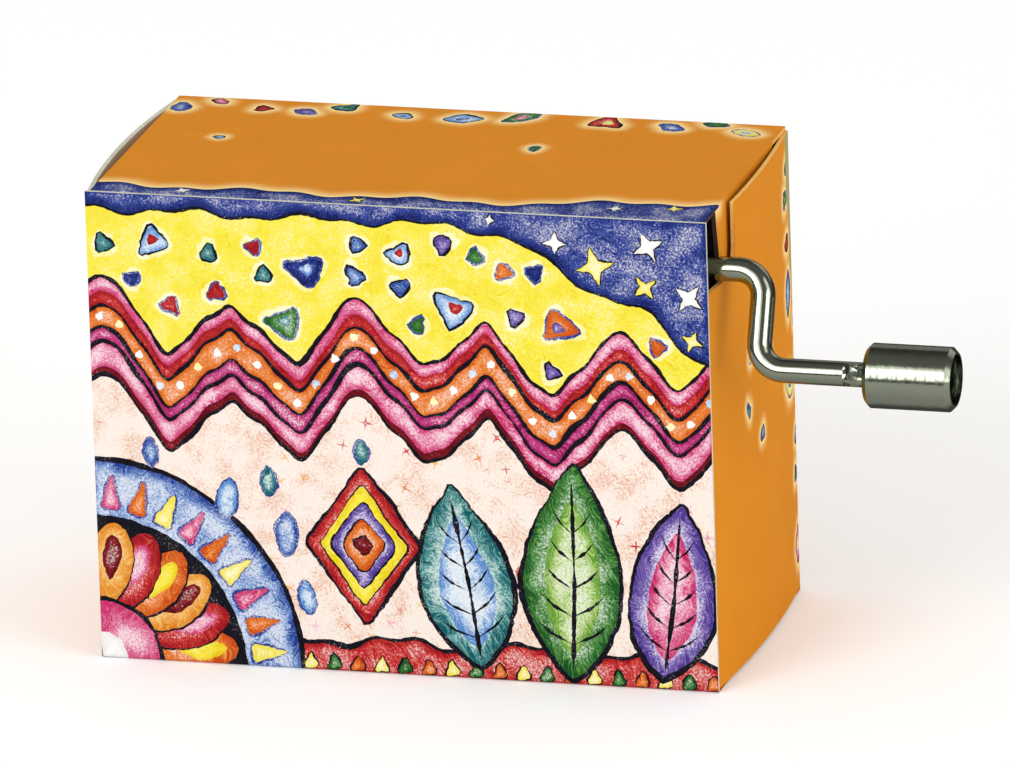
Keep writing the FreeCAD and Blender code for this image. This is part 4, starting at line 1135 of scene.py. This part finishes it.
def make_nickel(name, roughness, around, wave, stop=None, reflection_tint_end=None):
    """Nickel plate. around is how fine the grain is across the X axis, and wave is how uneven the
    surface is. Past the stop's start, in millimetres, it is hammered, and before the tint's end it is
    tinted green-grey: a painted reflection tint, so that the orange carton it mirrors looks olive."""
    surface = Surface(name, Metallic=1)
    place = surface.coordinate("Object")
    across = axis(place, 0)
    darker_patch = ramp(noise(place, 160, 4, 0.6), 0.35, 0.75, 0, 0.3)
    colour = mixed(darker_patch, srgb(154, 160, 143), srgb(128, 131, 106))
    # Painted reflection: a green-grey tint at the knob's left end, so that the carton's orange it mirrors
    # looks olive
    if reflection_tint_end:
        colour = mixed(across.below(reflection_tint_end * MM), colour, srgb(90, 128, 120))
    fine = noise(stretched(place, (1, around, around)), 5200, 3, 0.7)
    surface.set(Roughness=ramp(fine, 0.3, 0.8, roughness * 0.75, roughness * 1.4))
    slow = noise(stretched(place, (1, 0.5, 0.5)), 1100, 2, 0.5)
    height = fine * 0.12 + slow * wave
    if stop:
        facets = node(place.tree, "ShaderNodeTexVoronoi", None, "Distance", Vector=place, Scale=1050)
        height = height + facets * across.above(stop * MM) * 15
    return surface.finish(colour, height, 2e-5, 1)


def make_plain(name, colour, darker, roughness):
    surface = Surface(name, Roughness=roughness)
    cloud = noise(surface.coordinate("Object"), 500, 4, 0.6)
    colours = mixed(ramp(cloud, 0.3, 0.7), srgb(*colour), srgb(*darker))
    return surface.finish(colours, cloud, 1e-5, 0.4)


def dress_nodes():
    wear = (
        (make_board(), ("carton_body", "carton_lid")),
        (make_nickel("nickel", 0.13, 0.6, 0.9, stop=STOP_START), ("crank_wire",)),
        # The knob's left end, up to KNOB_EDGE, gets a painted reflection tint
        (make_nickel("turned_nickel", 0.17, 0.12, 2.6, reflection_tint_end=KNOB_EDGE), ("crank_knob",)),
        (make_metal("brass", (214, 170, 90), (160, 116, 50), 0.3, 0.75, (0.3, 0.3, 1)),
         ("worm", "drum_sleeve", "drum_bushes", "crank_bushes")),
        (make_metal("spring_steel", (182, 184, 188), (136, 138, 144), 0.3, 0.65, (0.06, 1, 1)),
         ("comb", "drum_arbor", "retaining_ring")),
        (make_metal("sheet_steel", (180, 180, 178), (136, 136, 134), 0.34, 0.55),
         ("drum_bracket_lower", "drum_bracket_upper", "crank_bracket_inner", "crank_bracket_outer",
          "thrust_washers")),
        (make_metal("zinc", (160, 162, 164), (120, 122, 126), 0.45, 0.45), ("base_plate", "drum_caps")),
        (make_metal("screw_steel", (178, 178, 174), (120, 120, 116), 0.32, 0.5), ()),
        (make_metal("lead", (104, 106, 112), (70, 72, 78), 0.55, 0.5), ("bass_weights",)),
        (make_plain("damper_film", (226, 220, 200), (196, 190, 168), 0.5), ("comb_dampers",)),
        (make_plain("wheel_plastic", (240, 238, 230), (224, 220, 208), 0.35), ("worm_wheel",)),
    )
    for material, names in wear:
        for name in names:
            for slot in NODES[name].material_slots:
                slot.material = material


# Stage, light and camera

def make_stage():
    """A pale floor just below the box, lifted by a little light of its own, and not mirrored."""
    half = 3.0
    corners = [(-half, -half, 0), (half, -half, 0), (half, half, 0), (-half, half, 0)]
    mesh = new_mesh("floor", corners, [(0, 1, 2, 3)])
    white = (1.0, 1.0, 1.0, 1.0)
    pale = (0.93, 0.93, 0.93, 1.0)
    matt = Surface("floor", Roughness=0.9, Base_Color=pale, Emission_Color=white, Emission_Strength=0.11)
    mesh.materials.append(matt.material)
    floor = add_object("floor", mesh)
    floor.location.z = -0.05 * MM
    floor.visible_glossy = False


def window(value, low, high, soft):
    """1 between low and high, falling to 0 over soft on either side."""
    return ramp(value, low - soft, low + soft) * ramp(value, high - soft, high + soft, 1, 0)


def make_world():
    """White all round, but metal mirrors two soft boxes in front and two dim ones behind, brighter
    upwards, a dim room with a dark skirting, a grey floor and a paler wall behind."""
    world = bpy.data.worlds.new("studio")
    bpy.context.scene.world = world
    world.use_nodes = True
    tree = world.node_tree
    way = node(tree, "ShaderNodeTexCoord", None, "Generated")
    turn = radians(-CAMERA_AZIMUTH)
    to_camera = dot(way, (sin(turn), -cos(turn), 0))
    to_right = dot(way, (cos(turn), sin(turn), 0))
    azimuth = to_right.math("ARCTAN2", to_camera).math("DEGREES")
    elevation = axis(way, 2).math("ARCSINE").math("DEGREES")

    front = window(azimuth, -46, -8, 5) + window(azimuth, 44, 76, 4)
    back = window(azimuth.math("ABSOLUTE"), 116, 156, 6) * 0.35
    boxes = front * window(elevation, 7.5, 50, 3.5) + back * window(elevation, 14, 50, 4)
    boxes = boxes * ramp(elevation, 2, 24, 0.95, 1.62)
    skirting = window(elevation, -2.2, 3.5, 1) * -0.9 + 1
    room = ramp(to_camera, -0.7, 0.15, 0.05, 0.2) * skirting
    below = ramp(elevation, -4.5, -2.5, 1, 0) * ramp(elevation, -75, -5, 0.3, 0.52)
    ground = below * ramp(to_camera, -0.45, 0, 0.1, 1)
    wall = ramp(to_camera, -0.8, -0.5, 0.3, 0) * window(elevation, 10, 44, 4)

    seen = node(tree, "ShaderNodeLightPath", None, "Is Camera Ray") * 0.25 + 0.8
    mirrored_by = node(tree, "ShaderNodeLightPath", None, "Is Glossy Ray")
    level = node(tree, "ShaderNodeMix", {"data_type": "FLOAT"},
                 i0=mirrored_by, i2=seen, i3=room + ground + boxes + wall)
    join(tree, tree.nodes["Background"], {"Strength": level, "Color": (1, 1, 0.985, 1)})


def make_lights():
    """Two square lights turned to the carton's middle."""
    centre = Vector((0.0, 0.0, HIGH / 2 * MM))
    for name, place, power in (("key", (-0.45, -0.9, 0.5), 5.0), ("fill", (1.0, -0.5, 0.3), 4.1)):
        light = bpy.data.lights.new(name, "AREA")
        light.size = 0.6
        light.energy = power
        lamp = add_object(name, light)
        lamp.location = place
        lamp.rotation_mode = "QUATERNION"
        lamp.rotation_quaternion = (centre - Vector(place)).to_track_quat("-Z", "Y")
        lamp.visible_camera = False


def make_camera():
    """Azimuth, elevation and roll are turns about Z, about the level X and about the line of sight."""
    turns = ((-CAMERA_AZIMUTH, "Z"), (90 - CAMERA_ELEVATION, "X"), (CAMERA_ROLL, "Z"))
    place = Matrix.Translation(Vector(CAMERA_PLACE) * MM)
    for angle, about in turns:
        place = place @ Matrix.Rotation(radians(angle), 4, about)
    data = bpy.data.cameras.new("camera")
    data.sensor_width = 36.0
    data.lens = FOCAL_PIXELS / PHOTO_WIDE * data.sensor_width
    data.clip_start, data.clip_end = 0.1, 20.0
    camera = add_object("camera", data)
    camera.matrix_world = place
    bpy.context.scene.camera = camera
    bpy.context.scene.view_settings.view_transform = "Standard"


make_camera()
make_stage()
make_world()
make_lights()
dress_nodes()
draw_front()
draw_walls()
draw_lid()
case_screws()
comb_screws()
bracket_screws()
